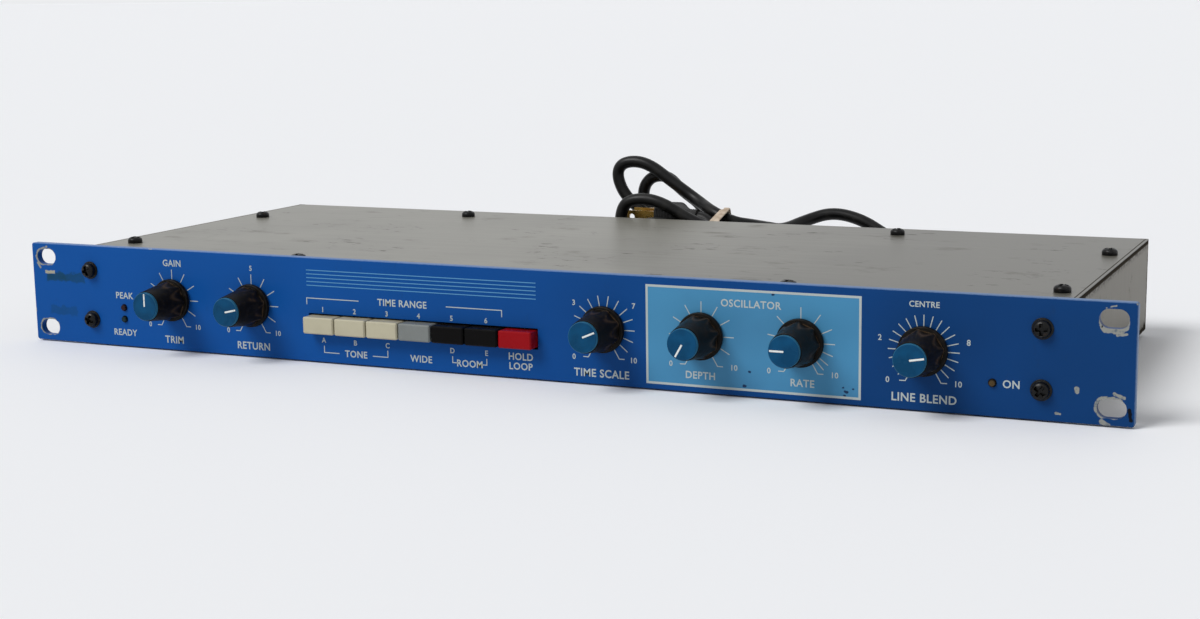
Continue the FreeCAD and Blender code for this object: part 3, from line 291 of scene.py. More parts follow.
def tube_grid(points):
    """Flat points and faces of a (rows, columns, 3) grid closed round, with both ends capped."""
    rows, columns = points.shape[:2]
    faces = grid_faces(rows, columns).tolist()
    faces.append(list(range(columns))[::-1])
    faces.append([(rows - 1) * columns + column for column in range(columns)])
    return points.reshape(-1, 3), faces


# %% [markdown]
# The unit stands on a plain pale floor under a broad soft light from the upper left. A sun lamp
# with a wide angle is used instead of a lamp close by, because it lights the floor evenly out
# to the horizon, which then melts into the background. The world lights the unit at a plain
# level, and only the camera and mirror rays see it at full strength, through Light Path.


# %% Floor and light
FLOOR_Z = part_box("cover_screws")[0].z
FLOOR_HALF = 30.0
BACKGROUND = srgb(236, 237, 239)
FLOOR_PAINT = srgb(244, 245, 247)
WORLD_LEVEL = 0.52
SUN_LEVEL = 2.1
SUN_DIRECTION = Vector((0.55, 0.75, -1.0))
SUN_SPREAD = math.radians(30)


def add_floor():
    corners = [(-1, -1), (1, -1), (1, 1), (-1, 1)]
    points = [(x * FLOOR_HALF, y * FLOOR_HALF, FLOOR_Z) for x, y in corners]
    mesh = bpy.data.meshes.new("studio_floor")
    mesh.from_pydata(points, [], [(0, 1, 2, 3)])
    mesh.materials.append(Finish("studio_floor", FLOOR_PAINT, 0.7).material)
    floor = add_object("studio_floor", mesh)


def add_sun():
    data = bpy.data.lights.new("sun", "SUN")
    data.energy = SUN_LEVEL
    data.angle = SUN_SPREAD
    sun = add_object("sun", data)
    sun.rotation_euler = SUN_DIRECTION.to_track_quat("-Z", "Y").to_euler()


def add_world():
    world = bpy.data.worlds.new("studio")
    world.use_nodes = True
    scene.world = world
    tree = world.node_tree
    rays = tree.nodes.new("ShaderNodeLightPath").outputs
    seen = rays["Is Camera Ray"]
    for kind in ("Is Glossy Ray", "Is Transmission Ray"):
        either = tree.nodes.new("ShaderNodeMath")
        either.operation = "MAXIMUM"
        tree.links.new(seen, either.inputs[0])
        tree.links.new(rays[kind], either.inputs[1])
        seen = either.outputs[0]
    level = tree.nodes.new("ShaderNodeMapRange")
    level.inputs["To Min"].default_value = WORLD_LEVEL
    level.inputs["To Max"].default_value = 1.0
    tree.links.new(seen, level.inputs["Value"])
    background = tree.nodes["Background"]
    background.inputs["Color"].default_value = BACKGROUND
    tree.links.new(level.outputs[0], background.inputs["Strength"])


add_floor()
add_sun()
add_world()

# %% [markdown]
# The face plate is aluminium under blue enamel, and it has seen years of racks: bolts have
# rubbed the enamel off round the slots, the top edge is scuffed pale, and a strip of old tape
# has left its glue. The pale line along the top edge and the ends is partly that wear and partly
# a painted highlight, and the enamel is darkened from left to right as painted shade. All of that
# is colour on a flat surface, so it is painted with masks in the material. Each mask is a
# distance in millimetres made ragged with noise.


# %% Blue enamel
PANEL_LOW, PANEL_HIGH = (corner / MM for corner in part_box("front_panel"))
PANEL_FACE_Y = PANEL_LOW.y
SLOT_CENTRE = (233.35, 15.875)
SLOT_HALF_RUN = 1.65
SLOT_RADIUS = 3.5
ENAMEL_DARK = srgb(14, 56, 106)
ENAMEL_LIGHT = srgb(16, 77, 149)
ENAMEL_SHADED_X = (-150.0, 250.0)
BARE_METAL = srgb(142, 143, 137)
DULL_METAL = srgb(82, 96, 110)
WORN_EDGE_AND_HIGHLIGHT = srgb(132, 160, 196)
DIRT = srgb(28, 52, 86)
SOOT = srgb(12, 16, 24)
GLUE = srgb(20, 60, 74)
PAPER = srgb(158, 155, 138)
SLOT_WEAR = ((-1, 1, -0.5, 0.0, 0.35), (-1, -1, -0.2, 0.2, 0.25), (1, 1, 0.0, -1.5, 0.1),
             (1, -1, -0.6, 0.35, 0.35))
CHIPS = ((221.3, -9.6, 221.4, -10.6, 0.8), (214.3, -18.9, 215.7, -19.0, 0.45),
         (97.0, 22.1, 99.5, 22.1, 0.3), (-177.0, 22.1, -175.0, 22.2, 0.4),
         (-196.0, 22.2, -193.0, 22.2, 0.3), (196.0, 22.2, 199.0, 22.2, 0.3),
         (230.1, -20.6, 232.2, -21.9, 0.9), (234.0, -22.2, 239.0, -22.2, 0.45),
         (241.0, 21.7, 241.2, 21.8, 0.5), (-241.1, -8.0, -241.1, -9.0, 0.4),
         (62.0, -22.2, 63.0, -22.2, 0.3), (234.5, 10.2, 237.6, 10.7, 0.4),
         (230.6, 19.6, 233.9, 20.6, 0.25), (234.2, -10.5, 237.5, -11.8, 0.6),
         (-238.4, 12.9, -237.0, 10.9, 0.5), (-237.3, 18.8, -233.0, 20.4, 0.45))
DIRT_MARKS = ((239.3, -15.9, 240.0, -19.4, 0.65), (229.2, 12.6, 229.4, 13.4, 0.2))
STAINS = (((-234.2, -212.0), (4.6, 9.6), 0.9), ((-233.6, -222.5), (5.4, 9.2), 0.6),
          ((-233.0, -217.0), (-10.5, -5.5), 0.5))
SCRAP_X = (-234.8, -228.8)
SCRAP_Z = (8.0, 10.1)


def box_mask(finish, x, z, x_range, z_range, soft):
    """1 inside a rectangle of the panel with torn edges, fading to 0 over soft millimetres."""
    reach = [abs(value - sum(ends) / 2) - (ends[1] - ends[0]) / 2
             for value, ends in ((x, x_range), (z, z_range))]
    outside = finish.highest(*reach) + finish.swing(2.0 * soft, 2.5, 3.0)
    return 1 - finish.ramp(outside, -soft, 0.0)


def slot_marks():
    """A mark over each slot, moved and grown by its own wear, where a bolt head rubbed."""
    for side, level, shift_x, shift_z, growth in SLOT_WEAR:
        x, z = side * SLOT_CENTRE[0] + shift_x, level * SLOT_CENTRE[1] + shift_z
        yield x - SLOT_HALF_RUN, z, x + SLOT_HALF_RUN, z, SLOT_RADIUS + growth


def marks_mask(finish, marks, ragged, soft=0.12):
    """1 on any mark: a short line with round ends, pushed in and out by the ragged length.

    The nearest point of the line lies at the share that the dot product with the line gives,
    kept between 0 and 1.
    """
    nearest = 99.0
    for start_x, start_z, end_x, end_z, radius in marks:
        start = Vector((start_x, PANEL_FACE_Y, start_z))
        line = Vector((end_x, PANEL_FACE_Y, end_z)) - start
        from_start = finish.vector("SUBTRACT", finish.coordinates, start)
        scaled = line / line.length_squared
        share = finish.vector("DOT_PRODUCT", from_start, scaled, output="Value")
        along = finish.vector("SCALE", line, scale=finish.ramp(share, 0.0, 1.0))
        away = finish.vector("DISTANCE", from_start, along, output="Value")
        nearest = finish.math("MINIMUM", away - radius, nearest)
    return 1 - finish.ramp(nearest + ragged, -0.1, soft)


def blue_enamel():
    finish = Finish("blue_enamel", ENAMEL_LIGHT, 0.36, specular=0.06)
    x, y, z = finish.axes()
    # Painted shade: the enamel darkens from left to right along X.
    along = finish.blend(finish.ramp(x, *ENAMEL_SHADED_X), 0.95, 0.0)
    colour = finish.mix(along + finish.swing(0.3, 70.0, 3.0), ENAMEL_DARK, ENAMEL_LIGHT)
    dirt = finish.clouds(0.6, 0.8, 5.0, 6.0, (1, 1, 0.5), 0.7)
    colour = finish.mix(dirt * 0.35, colour, DIRT)
    on_face = 1 - finish.ramp(y, PANEL_FACE_Y + 0.2, PANEL_FACE_Y + 0.4)
    glue = finish.blend(finish.noise(5.0, 3.0), 0.35, 1.0) * on_face
    for x_range, z_range, strength in STAINS:
        stain = box_mask(finish, x, z, x_range, z_range, 1.0) * glue
        colour = finish.mix(stain * strength, colour, GLUE)
    paper = box_mask(finish, x, z, SCRAP_X, SCRAP_Z, 0.4) * finish.clouds(0.36, 0.42, 1.8, 3.0)
    colour = finish.mix(paper * on_face, colour, PAPER)
    fine = finish.swing(0.4, 1.4)
    # The pale top edge and ends are partly worn enamel and partly a painted highlight.
    worn_top_and_highlight = finish.ramp(z + fine * 0.3, PANEL_HIGH.z - 0.45, PANEL_HIGH.z - 0.15)
    worn_side_and_highlight = finish.ramp(abs(x) + fine * 0.3, PANEL_HIGH.x - 0.4, PANEL_HIGH.x - 0.1)
    colour = finish.mix(finish.highest(worn_top_and_highlight, worn_side_and_highlight) * 0.4, colour, WORN_EDGE_AND_HIGHLIGHT)
    rubbed = marks_mask(finish, slot_marks(), finish.swing(0.9, 1.6, 4.0), 0.15)
    bare = finish.highest(rubbed, marks_mask(finish, CHIPS, fine)) * on_face
    metal_colour = finish.mix(finish.clouds(0.48, 0.75, 1.6, 3.0), BARE_METAL, DULL_METAL)
    colour = finish.mix(bare, colour, metal_colour)
    colour = finish.mix(marks_mask(finish, DIRT_MARKS, fine) * on_face, colour, SOOT)
    finish.surface(colour, dirt, (0.34, 0.55), 0.5, 0.012)
    finish.send("Metallic", bare * 0.6)
    finish.bump(1 - bare, 0.05)
    return finish


dress("front_panel", blue_enamel())
print("panel face at y", round(PANEL_FACE_Y, 2), "mm")

# %% [markdown]
# Silk-screen print is a film of ink that stands a few hundredths of a millimetre proud. It could
# be painted in the material too, but a thin relief keeps its edges sharp at any distance. Every
# stroke is a ribbon: a path with its own width, offset to both sides and mitred at its corners.
# The scales are plain strokes and the lettering is plain generic words and numbers.


# %% Strokes of ink
INK_BACK = 0.02
INK_FACE = -0.05
FIELD_FACE = -0.02


def join_parts(parts):
    """One set of points and faces from many, with the corner numbers moved on."""
    points, faces, count = [], [], 0
    for part_points, part_faces in parts:
        points.append(part_points)
        faces += [[corner + count for corner in face] for face in part_faces]
        count += len(part_points)
    return np.vstack(points), faces


def ribbon(path, width, closed=False, face=INK_FACE):
    """A flat stroke on the panel: the path moved half a width along its mitred normals."""
    path = np.array(path, float)
    legs = np.diff(np.vstack([path[-1:], path, path[:1]]), axis=0)
    if not closed:
        legs[0] = legs[1]
        legs[-1] = legs[-2]
    legs /= np.linalg.norm(legs, axis=1, keepdims=True)
    normals = np.stack([-legs[:, 1], legs[:, 0]], 1)
    mitre = normals[:-1] + normals[1:]
    mitre /= (mitre * normals[:-1]).sum(1, keepdims=True)
    sides = np.stack([path + mitre * width / 2, path - mitre * width / 2])
    levels = PANEL_FACE_Y + np.array([face, face, INK_BACK, INK_BACK])
    flat = sides[[0, 1, 1, 0]].transpose(1, 0, 2)
    points = np.stack([flat[..., 0], np.broadcast_to(levels, flat.shape[:2]), flat[..., 1]], -1)
    if closed:
        points = np.concatenate([points, points[:1]])
        return points.reshape(-1, 3), grid_faces(len(points), 4).tolist()
    return tube_grid(points)


def around(x, z, radius, degrees):
    """The point at a radius from a dial's centre, at an angle clockwise from the top."""
    turn = math.radians(degrees)
    return x + radius * math.sin(turn), z + radius * math.cos(turn)


# %% [markdown]
# Each dial has a ring of ticks. The first and the last are elbows that lead to a number, and
# the others stand at the angles of that dial: even steps on most, and steps that crowd together
# towards the fast end on the one that sets a speed.

# %% Scales
DIAL_NAMES = ("level", "feedback", "delay", "width", "speed", "mix")
DIAL_TURNS = dict(zip(DIAL_NAMES, (0.0, 77.0, 67.0, -150.0, -90.0, 80.0)))
TICK_ANGLES = {
    "level": range(-120, 121, 30),
    "feedback": range(-120, 121, 30),
    "delay": range(-130, 131, 20),
    "width": range(-120, 121, 30),
    "speed": (-120, -80, -45, 0, 35, 65, 90, 110, 127, 138),
    "mix": range(-135, 136, 15),
}
TICK_RADII = (9.0, 13.2)
STROKE = 0.36
END_ANGLE = 150
LEADER = 2.2


def centre(name):
    """The X and Z of the middle of a frame node."""
    low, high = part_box(name)
    return (low.x + high.x) / 2 / MM, (low.z + high.z) / 2 / MM


def dial_scale(name):
    x, z = centre(name + "_shaft")
    parts = [ribbon([around(x, z, radius, turn) for radius in TICK_RADII], STROKE)
             for turn in TICK_ANGLES[name]]
    for side in (-1, 1):
        start, corner = [around(x, z, radius, side * END_ANGLE) for radius in TICK_RADII]
        end = (corner[0] + side * LEADER, corner[1])
        parts.append(ribbon([start, corner, end], STROKE))
    return parts


scale_parts = [part for name in DIAL_NAMES for part in dial_scale(name)]
print("scales:", len(scale_parts), "strokes")

# %% [markdown]
# Letters come from Blender's own font. A text object is turned into a mesh first, and only then
# are its points scaled to the size of the print and laid on the panel, so that no object is left
# turned or scaled. The font is wider than panel lettering, so it is narrowed a little.

# %% Lettering
LETTER_NARROWING = 0.97
LETTER_WEIGHT = 0.018
LETTER_SPACING = 1.07
TITLE = 3.0
LABEL = 2.7
SMALL = 2.05


def text_mesh(text, weight):
    """The raw points and faces of a text with a thickness, one unit high."""
    data = bpy.data.curves.new("letters", "FONT")
    data.body = text
    data.extrude = 0.1
    data.offset = weight
    data.space_character = LETTER_SPACING
    data.resolution_u = 3
    holder = bpy.data.objects.new("letters", data)
    mesh = bpy.data.meshes.new_from_object(holder)
    points = np.empty(len(mesh.vertices) * 3)
    mesh.vertices.foreach_get("co", points)
    faces = [tuple(face.vertices) for face in mesh.polygons]
    bpy.data.meshes.remove(mesh)
    bpy.data.objects.remove(holder)
    bpy.data.curves.remove(data)
    return points.reshape(-1, 3), faces


CAPITAL_HEIGHT = np.ptp(text_mesh("H", 0.0)[0][:, 1])


def letters(text, x, z, height):
    """Text centred on a point of the panel, with capitals of the given height."""
    points, faces = text_mesh(text, LETTER_WEIGHT)
    scale = height / CAPITAL_HEIGHT
    middle = (points[:, 0].max() + points[:, 0].min()) / 2
    across = (points[:, 0] - middle) * scale * LETTER_NARROWING
    upward = points[:, 1] * scale - height / 2
    depth = np.where(points[:, 2] > 0, INK_FACE, INK_BACK) + PANEL_FACE_Y
    return np.stack([x + across, depth, z + upward], 1), faces


LABELS = {
    TITLE: (("TRIM", -165.2, -17.4), ("RETURN", -123.8, -17.4), ("TIME SCALE", 38.9, -17.5),
            ("LINE BLEND", 167.0, -17.3)),
    LABEL: (("GAIN", -164.6, 16.2), ("PEAK", -190.9, 0.6), ("READY", -191.4, -15.8),
            ("TIME RANGE", -50.2, 5.0), ("TONE", -72.9, -17.6), ("WIDE", -41.9, -17.4),
            ("ROOM", -19.4, -17.8), ("HOLD", 3.75, -13.3), ("LOOP", 3.75, -17.2),
            ("OSCILLATOR", 100.7, 13.4), ("DEPTH", 80.3, -15.2), ("RATE", 121.0, -15.2),
            ("ON", 198.4, -9.8)),
    SMALL: (("5", -123.7, 16.0), ("A", -88.4, -12.6), ("B", -73.0, -12.8), ("C", -57.6, -12.9),
            ("D", -27.2, -12.9), ("E", -11.6, -12.9), ("3", 27.4, 10.0), ("7", 52.9, 10.0),
            ("CENTRE", 166.7, 17.2), ("2", 150.4, 4.2), ("8", 183.0, 4.2)),
}
SCALE_ENDS = ((-177.6, -152.2, -11.2), (-136.4, -111.0, -11.2), (27.2, 52.8, -11.4),
              (68.2, 94.1, -11.3), (107.8, 133.6, -11.3), (153.4, 179.6, -11.2))
KEY_NUMBERS_X = (-88.4, -73.0, -57.6, -42.6, -27.3, -11.6)
KEY_NUMBERS_Z = 0.35

letter_parts = [letters(*label, height) for height, group in LABELS.items() for label in group]
for low_x, high_x, z in SCALE_ENDS:
    letter_parts += [letters("0", low_x, z, SMALL), letters("10", high_x, z, SMALL)]
for number, x in enumerate(KEY_NUMBERS_X, 1):
    letter_parts.append(letters(str(number), x, KEY_NUMBERS_Z, SMALL))
capital_share = round(CAPITAL_HEIGHT, 3)
print("lettering:", len(letter_parts), "labels, capitals", capital_share, "of the font's size")

# %% [markdown]
# Brackets gather the buttons into groups, five light stripes run above them, and a pale frame
# encloses the light blue field behind two of the dials. The field is one broad ribbon.

# %% Brackets, stripes and the light blue field
STRIPES_X = (-95.9, 10.9)
STRIPES_Z = (16.7, 15.1, 13.5, 11.9, 10.3)
FIELD_X = (58.4, 143.0)
FIELD_Z = (-19.4, 18.4)
FIELD_BORDER = 0.9

BRACKETS = ((-96.1, 2.2, 4.9, -70.8), (-4.4, 2.2, 4.9, -29.7), (-88.3, -15.0, -17.8, -81.0),
            (-57.6, -15.0, -17.8, -64.8), (-27.2, -15.2, -17.8, -24.9),
            (-11.6, -15.2, -17.8, -13.9))

for x, start_z, end_z, end_x in BRACKETS:
    scale_parts.append(ribbon([(x, start_z), (x, end_z), (end_x, end_z)], STROKE))
left, right = FIELD_X
low, high = FIELD_Z
field_corners = ((left, low), (right, low), (right, high), (left, high))
scale_parts.append(ribbon(field_corners, FIELD_BORDER, closed=True))
stripe_parts = [ribbon([(STRIPES_X[0], z), (STRIPES_X[1], z)], STROKE) for z in STRIPES_Z]
middle = (low + high) / 2
field_part = ribbon([(left, middle), (right, middle)], high - low, face=FIELD_FACE)


def ink(name, colour):
    """A dry film of ink, thin and dirty in places."""
    faded = tuple(0.72 * share + 0.28 * blue for share, blue in zip(colour, ENAMEL_LIGHT))
    return mottled(name, (colour, faded), (0.55,), (0.6, 0.95, 3.0, 5.0), FINE_GRAIN)


FIELD_SPECKS = ((99.9, -12.3, 100.4, -12.5, 0.4), (97.8, -18.0, 98.5, -18.0, 0.5),
                (137.5, -17.1, 138.3, -17.3, 0.5), (140.4, -16.0, 140.7, -16.0, 0.3),
                (136.6, -15.7, 136.8, -15.6, 0.3), (109.2, 17.6, 109.7, 17.6, 0.4),
                (137.0, -18.6, 137.5, -18.6, 0.3))


def field_paint():
    finish = Finish("field_paint", srgb(60, 120, 160), 0.4, specular=0.15)
    cloudy = finish.clouds(0.3, 0.7, 40.0, 3.0)
    colour = finish.mix(cloudy, srgb(64, 124, 163), srgb(69, 135, 175))
    stain = finish.clouds(0.68, 0.85, 2.0, 5.0, (1, 1, 0.4), 0.7)
    colour = finish.mix(stain * 0.3, colour, srgb(40, 92, 130))
    specks = marks_mask(finish, FIELD_SPECKS, finish.swing(0.4, 0.8))
    colour = finish.mix(specks, colour, srgb(24, 50, 84))
    return finish.surface(colour, stain, (0.38, 0.55), 0.5, 0.012)


pale_ink = ink("pale_ink", srgb(170, 179, 178))
add_mesh("panel_scales", *join_parts(scale_parts), pale_ink, "chassis")
add_mesh("panel_lettering", *join_parts(letter_parts), pale_ink, "chassis")
blue_ink = ink("blue_ink", srgb(70, 134, 178))
add_mesh("panel_stripes", *join_parts(stripe_parts), blue_ink, "chassis")
add_mesh("panel_field", *field_part, field_paint(), "chassis")

# %% [markdown]
# A control knob is moulded black plastic: a round skirt, a short neck, and a tapered grip with
# broad scallops for the fingers. The grip could be cut with Boolean cylinders, but a formula
# gives the same shape with an even mesh: the radius of a turned profile, held in by the nearest
# scallop. Finger wear has rubbed the base of the lands between the scallops to a dusty brown, and
# a fainter brown line along the lands' edges is a painted highlight. Both are kept per point as an
# attribute that the material reads.


# %% Turned profiles
def rounded_outline(corners, radii, steps=4):
    """An outline through (radius, height) corners, each rounded by an arc of its own radius.

    The legs of a corner are trimmed by the radius times the tangent of half the turn, and the
    arc runs about the point where both legs are one radius away.
    """
    corners = np.array(corners, float)
    here = corners[1:-1]
    before = corners[:-2] - here
    after = corners[2:] - here
    before /= np.linalg.norm(before, axis=1, keepdims=True)
    after /= np.linalg.norm(after, axis=1, keepdims=True)
    turn = np.arccos(np.clip(-(before * after).sum(1), -1, 1))[:, None]
    radii = np.broadcast_to(radii, len(here))[:, None]
    inward = (before + after) / np.linalg.norm(before + after, axis=1, keepdims=True)
    centre = here + inward * radii / np.cos(turn / 2)
    start = here + before * radii * np.tan(turn / 2) - centre
    end = here + after * radii * np.tan(turn / 2) - centre
    share = np.linspace(0, 1, steps)[:, None, None]
    arcs = np.sin((1 - share) * turn) * start + np.sin(share * turn) * end
    arcs = arcs / np.sin(turn) + centre
    return np.vstack([corners[:1], arcs.transpose(1, 0, 2).reshape(-1, 2), corners[-1:]])


def even_angles(count):
    """The angles of one whole turn in even steps."""
    return 2 * np.pi * np.arange(count) / count


def turned_grid(reach, heights):
    """Points (across, up, height) of a turned grid: row by row a reach at even angles."""
    angles = even_angles(reach.shape[1])
    levels = np.broadcast_to(heights[:, None], reach.shape)
    return np.stack([reach * np.sin(angles), reach * np.cos(angles), levels], -1)


def spun(grid, degrees):
    """A turned grid, turned on about its axis."""
    sine, cosine = math.sin(math.radians(degrees)), math.cos(math.radians(degrees))
    x, y = grid[..., 0], grid[..., 1]
    return np.stack([x * cosine - y * sine, x * sine + y * cosine, grid[..., 2]], -1)


def on_panel(grid, x, z, base_y, degrees):
    """Stands a grid on the panel with its heights towards the user, turned clockwise."""
    return spun(grid, -degrees)[..., [0, 2, 1]] * (1, -1, 1) + (x, base_y, z)


# %% Knobs
KNOB_COLUMNS = 192
SKIRT_RADIUS = 9.2
SKIRT_HEIGHT = 1.8
NECK_RADIUS = 7.9
GRIP_START = 2.3
GRIP_BASE_RADIUS = 8.4
GRIP_TOP_RADIUS = 6.4
GRIP_END = 17.5
SCALLOP_COUNT = 8
SCALLOP_RADIUS = 11.0
SCALLOP_CLOSEST = 7.6
HOLLOW_RADIUS = 6.8
HOLLOW_DEPTH = 4.6
SHAFT_RADIUS = 3.0
SHAFT_END = 15.0
SPIGOT_RADIUS = 3.6
SPIGOT_START = 15.5
GRIP_ROWS = 24


def knob_grid():
    """The knob's points and at each a share: full wear on the rim, a weaker painted highlight
    along the lands' edges.

    A scallop is a cylinder of radius R beside the knob at distance D, so at an angle a from its
    middle the grip reaches at most D cos a less the square root of R squared less (D sin a)
    squared.
    """
    lower = rounded_outline(((SHAFT_RADIUS, SHAFT_END), (SHAFT_RADIUS, HOLLOW_DEPTH),
                             (HOLLOW_RADIUS, HOLLOW_DEPTH), (HOLLOW_RADIUS, 0.0),
                             (SKIRT_RADIUS, 0.0), (SKIRT_RADIUS, SKIRT_HEIGHT),
                             (NECK_RADIUS, SKIRT_HEIGHT), (NECK_RADIUS, GRIP_START),
                             (GRIP_BASE_RADIUS, GRIP_START)),
                            (0.1, 0.2, 0.2, 0.25, 0.5, 0.15, 0.1))
    share = np.linspace(0.01, 0.99, GRIP_ROWS)
    taper = GRIP_BASE_RADIUS + (GRIP_TOP_RADIUS - GRIP_BASE_RADIUS) * share
    grip = np.stack([taper, GRIP_START + (GRIP_END - GRIP_START) * share], 1)
    upper = rounded_outline((grip[-1], (GRIP_TOP_RADIUS, GRIP_END), (SPIGOT_RADIUS, GRIP_END),
                             (SPIGOT_RADIUS, SPIGOT_START)), (0.12, 0.1))
    outline = np.vstack([lower, grip, upper[1:]])
    pitch = 2 * np.pi / SCALLOP_COUNT
    offset = np.mod(even_angles(KNOB_COLUMNS), pitch) - pitch / 2
    distance = SCALLOP_CLOSEST + SCALLOP_RADIUS
    limit = distance * np.cos(offset)
    limit -= np.sqrt(SCALLOP_RADIUS ** 2 - (distance * np.sin(offset)) ** 2)
    reach = np.broadcast_to(outline[:, :1], (len(outline), KNOB_COLUMNS))
    gripped = (outline[:, 1:] > GRIP_START - 0.01) & (outline[:, :1] > GRIP_TOP_RADIUS - 1)
    cut = np.where(gripped, np.minimum(reach, limit), reach)
    rim = np.exp(-((outline[:, 1:] - GRIP_START) / 0.5) ** 2)
    # Painted highlight: a fainter brown line along the lands' edges, over the full height of the
    # grip.
    edges = 0.5 * np.exp(-((limit - reach) / 0.2) ** 2)
    return turned_grid(cut, outline[:, 1]), np.maximum(rim, edges) * gripped


def knob_plastic():
    """Black plastic with brown finger wear and a brown painted highlight on the lands, and grey
    dust on the skirt.
    """
    finish = Finish("knob_plastic", srgb(18, 16, 13), 0.4, specular=0.08)
    wear_and_highlight = finish.signal("Attribute", {}, "Fac", attribute_name="wear_and_highlight")
    # The brown share is real finger wear at the base of the grip and a painted highlight along the
    # lands' edges.
    rubbed = wear_and_highlight * finish.clouds(0.38, 0.58, 5.0, 3.0)
    dusty = finish.clouds(0.45, 0.75, 2.2, 5.0)
    colour = finish.mix(dusty, srgb(16, 14, 11), srgb(30, 26, 22))
    colour = finish.mix(rubbed * 0.7, colour, srgb(98, 78, 58))
    return finish.surface(colour, dusty, (0.34, 0.5), 0.35, 0.01)


def on_dial(name, grid, base_y):
    """Stands a grid on a dial, turned as far as that dial is at rest."""
    placed = on_panel(grid, *centre(name + "_shaft"), base_y / MM, DIAL_TURNS[name])
    return tube_grid(placed)


def add_knob(name, finish):
    grid, wear_and_highlight = knob_grid()
    parts = on_dial(name, grid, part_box(name + "_knob")[1].y)
    knob = add_mesh(name + "_grip", *parts, finish, name + "_dial", merge=False)
    values = knob.data.attributes.new("wear_and_highlight", "FLOAT", "POINT")
    values.data.foreach_set("value", wear_and_highlight.ravel())
    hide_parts(name + "_knob")


plastic = knob_plastic()
for dial in DIAL_NAMES:
    add_knob(dial, plastic)
print("knobs:", len(DIAL_NAMES), "with", SCALLOP_COUNT, "scallops each")

# %% [markdown]
# A blue disc is pressed into the top of each knob. Its bevel is already in the frame, so it only
# needs its finish: glossy moulded colour with faint clouds, and a lighter rim that is a painted
# highlight on the bevel. The pointer is a white inlay that fills the groove of the disc.


# %% Knob caps and pointers
CAP_RADIUS = 6.05
POINTER_WIDTH = 0.8
POINTER_END = 5.5
POINTER_DEPTH = 0.3
POINTER_CROWN = 0.1
POINTER_SUNK = 0.12
POINTER_NARROWED = 0.75


def cap_finish(name):
    finish = Finish(name + "_cap_gloss", srgb(8, 62, 97), 0.3, specular=0.08)
    radius = finish.radius(*centre(name + "_shaft"))
    # Painted highlight: a lighter rim on the bevel of the disc.
    rim = finish.ramp(radius, CAP_RADIUS - 0.3, CAP_RADIUS - 0.05)
    cloudy = finish.clouds(*SOFT_CLOUDS, 6.0)
    colour = finish.mix(cloudy, srgb(6, 60, 94), srgb(9, 70, 108))
    colour = finish.mix(rim * 0.4, colour, srgb(64, 128, 158))
    return finish.surface(colour, cloudy, (0.26, 0.42), 0.5, 0.008)


def add_pointer(name, finish):
    """A bar with a rounded top: its section is a low arch carried from the centre to the rim."""
    arch = np.linspace(0, np.pi, 7)
    across = np.append(np.cos(arch), (-1.0, 1.0)) * POINTER_WIDTH / 2
    height = np.sin(arch) * POINTER_CROWN - POINTER_SUNK
    height = np.append(height, (-POINTER_DEPTH, -POINTER_DEPTH))
    along = np.array([0.05, 0.2, POINTER_END - 0.15, POINTER_END])
    squeeze = np.array([POINTER_NARROWED, 1.0, 1.0, POINTER_NARROWED])
    grid = np.stack(np.broadcast_arrays(across * squeeze[:, None], along[:, None], height), -1)
    parts = on_dial(name, grid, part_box(name + "_knob_cap")[0].y)
    pointer = add_mesh(name + "_pointer", *parts, finish, name + "_dial")


pointer_colours = (srgb(220, 223, 221), srgb(168, 170, 164))
white = mottled("pointer_white", pointer_colours, (0.45,), (0.5, 0.8, 1.2, 3.0), FINE_GRAIN)
for dial in DIAL_NAMES:
    dress(dial + "_knob_cap", cap_finish(dial))
    add_pointer(dial, white)

# %% [markdown]
# The seven push buttons are moulded in four colours: three ivory, one grey, two black and one
# red. The frame already gives them their rounded edges. Moulded plastic is not perfectly even, so
# each finish has faint clouds, a fine grain, and grime that gathers towards the panel.


# %% Push buttons
BUTTON_FRONT_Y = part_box("button_cap_1")[0].y / MM


def moulded(name, colour, grime, roughness, specular=0.25):
    finish = Finish(name, colour, roughness, specular=specular)
    near_panel = finish.ramp(finish.axes()[1], BUTTON_FRONT_Y + 0.5, PANEL_FACE_Y)
    settled = near_panel * finish.clouds(0.3, 0.7, 3.0)
    cloudy = finish.clouds(*SOFT_CLOUDS, 7.0, 3.0)
    shade = finish.mix(cloudy, colour, darker(colour, 0.93))
    shade = finish.mix(settled * 0.7, shade, grime)
    return finish.surface(shade, cloudy, (roughness - 0.06, roughness + 0.1), *FINE_GRAIN)


ivory = moulded("button_ivory", srgb(178, 172, 148), srgb(132, 120, 96), 0.42)
grey = moulded("button_grey", srgb(117, 121, 119), srgb(78, 80, 78), 0.42)
black = moulded("button_black", srgb(14, 13, 13), srgb(30, 27, 24), 0.32, 0.04)
red = moulded("button_red", srgb(142, 9, 18), srgb(80, 10, 14), 0.28, 0.08)
button_finishes = (ivory, ivory, ivory, grey, black, black, red)
for number, finish in enumerate(button_finishes, 1):
    dress("button_cap_%d" % number, finish)

# %% [markdown]
# All visible screws are black pan heads with a cross recess. A head is a turned grid whose crown
# follows a flattened dome, and the recess is pressed into it by a formula: a point sinks when it
# lies near one of the two arms and not too far out. The arms are turned by a different angle on
# each screw, as a screwdriver leaves them.


# %% Screws
SCREW_COLUMNS = 72
SHANK_RADIUS = 1.5
SHANK_LENGTH = 6.0
HEAD_RADIUS = 3.2
HEAD_SIDE = 1.3
HEAD_HEIGHT = 2.9
FLAT_HEAD_SHARE = 0.6
WASHER_RADIUS = 3.9
WASHER_THICKNESS = 0.5
CROWN_POWER = 2.5
CROWN_ROWS = 30
CROWN_MIDDLE = 0.02
RECESS_DEPTH = 1.5
RECESS_ARM = 2.2
RECESS_HALF_WIDTH = 0.5


def smooth_step(value, low, high):
    """0 under low, 1 over high, and a smooth rise between them."""
    share = np.clip((value - low) / (high - low), 0, 1)
    return share * share * (3 - 2 * share)


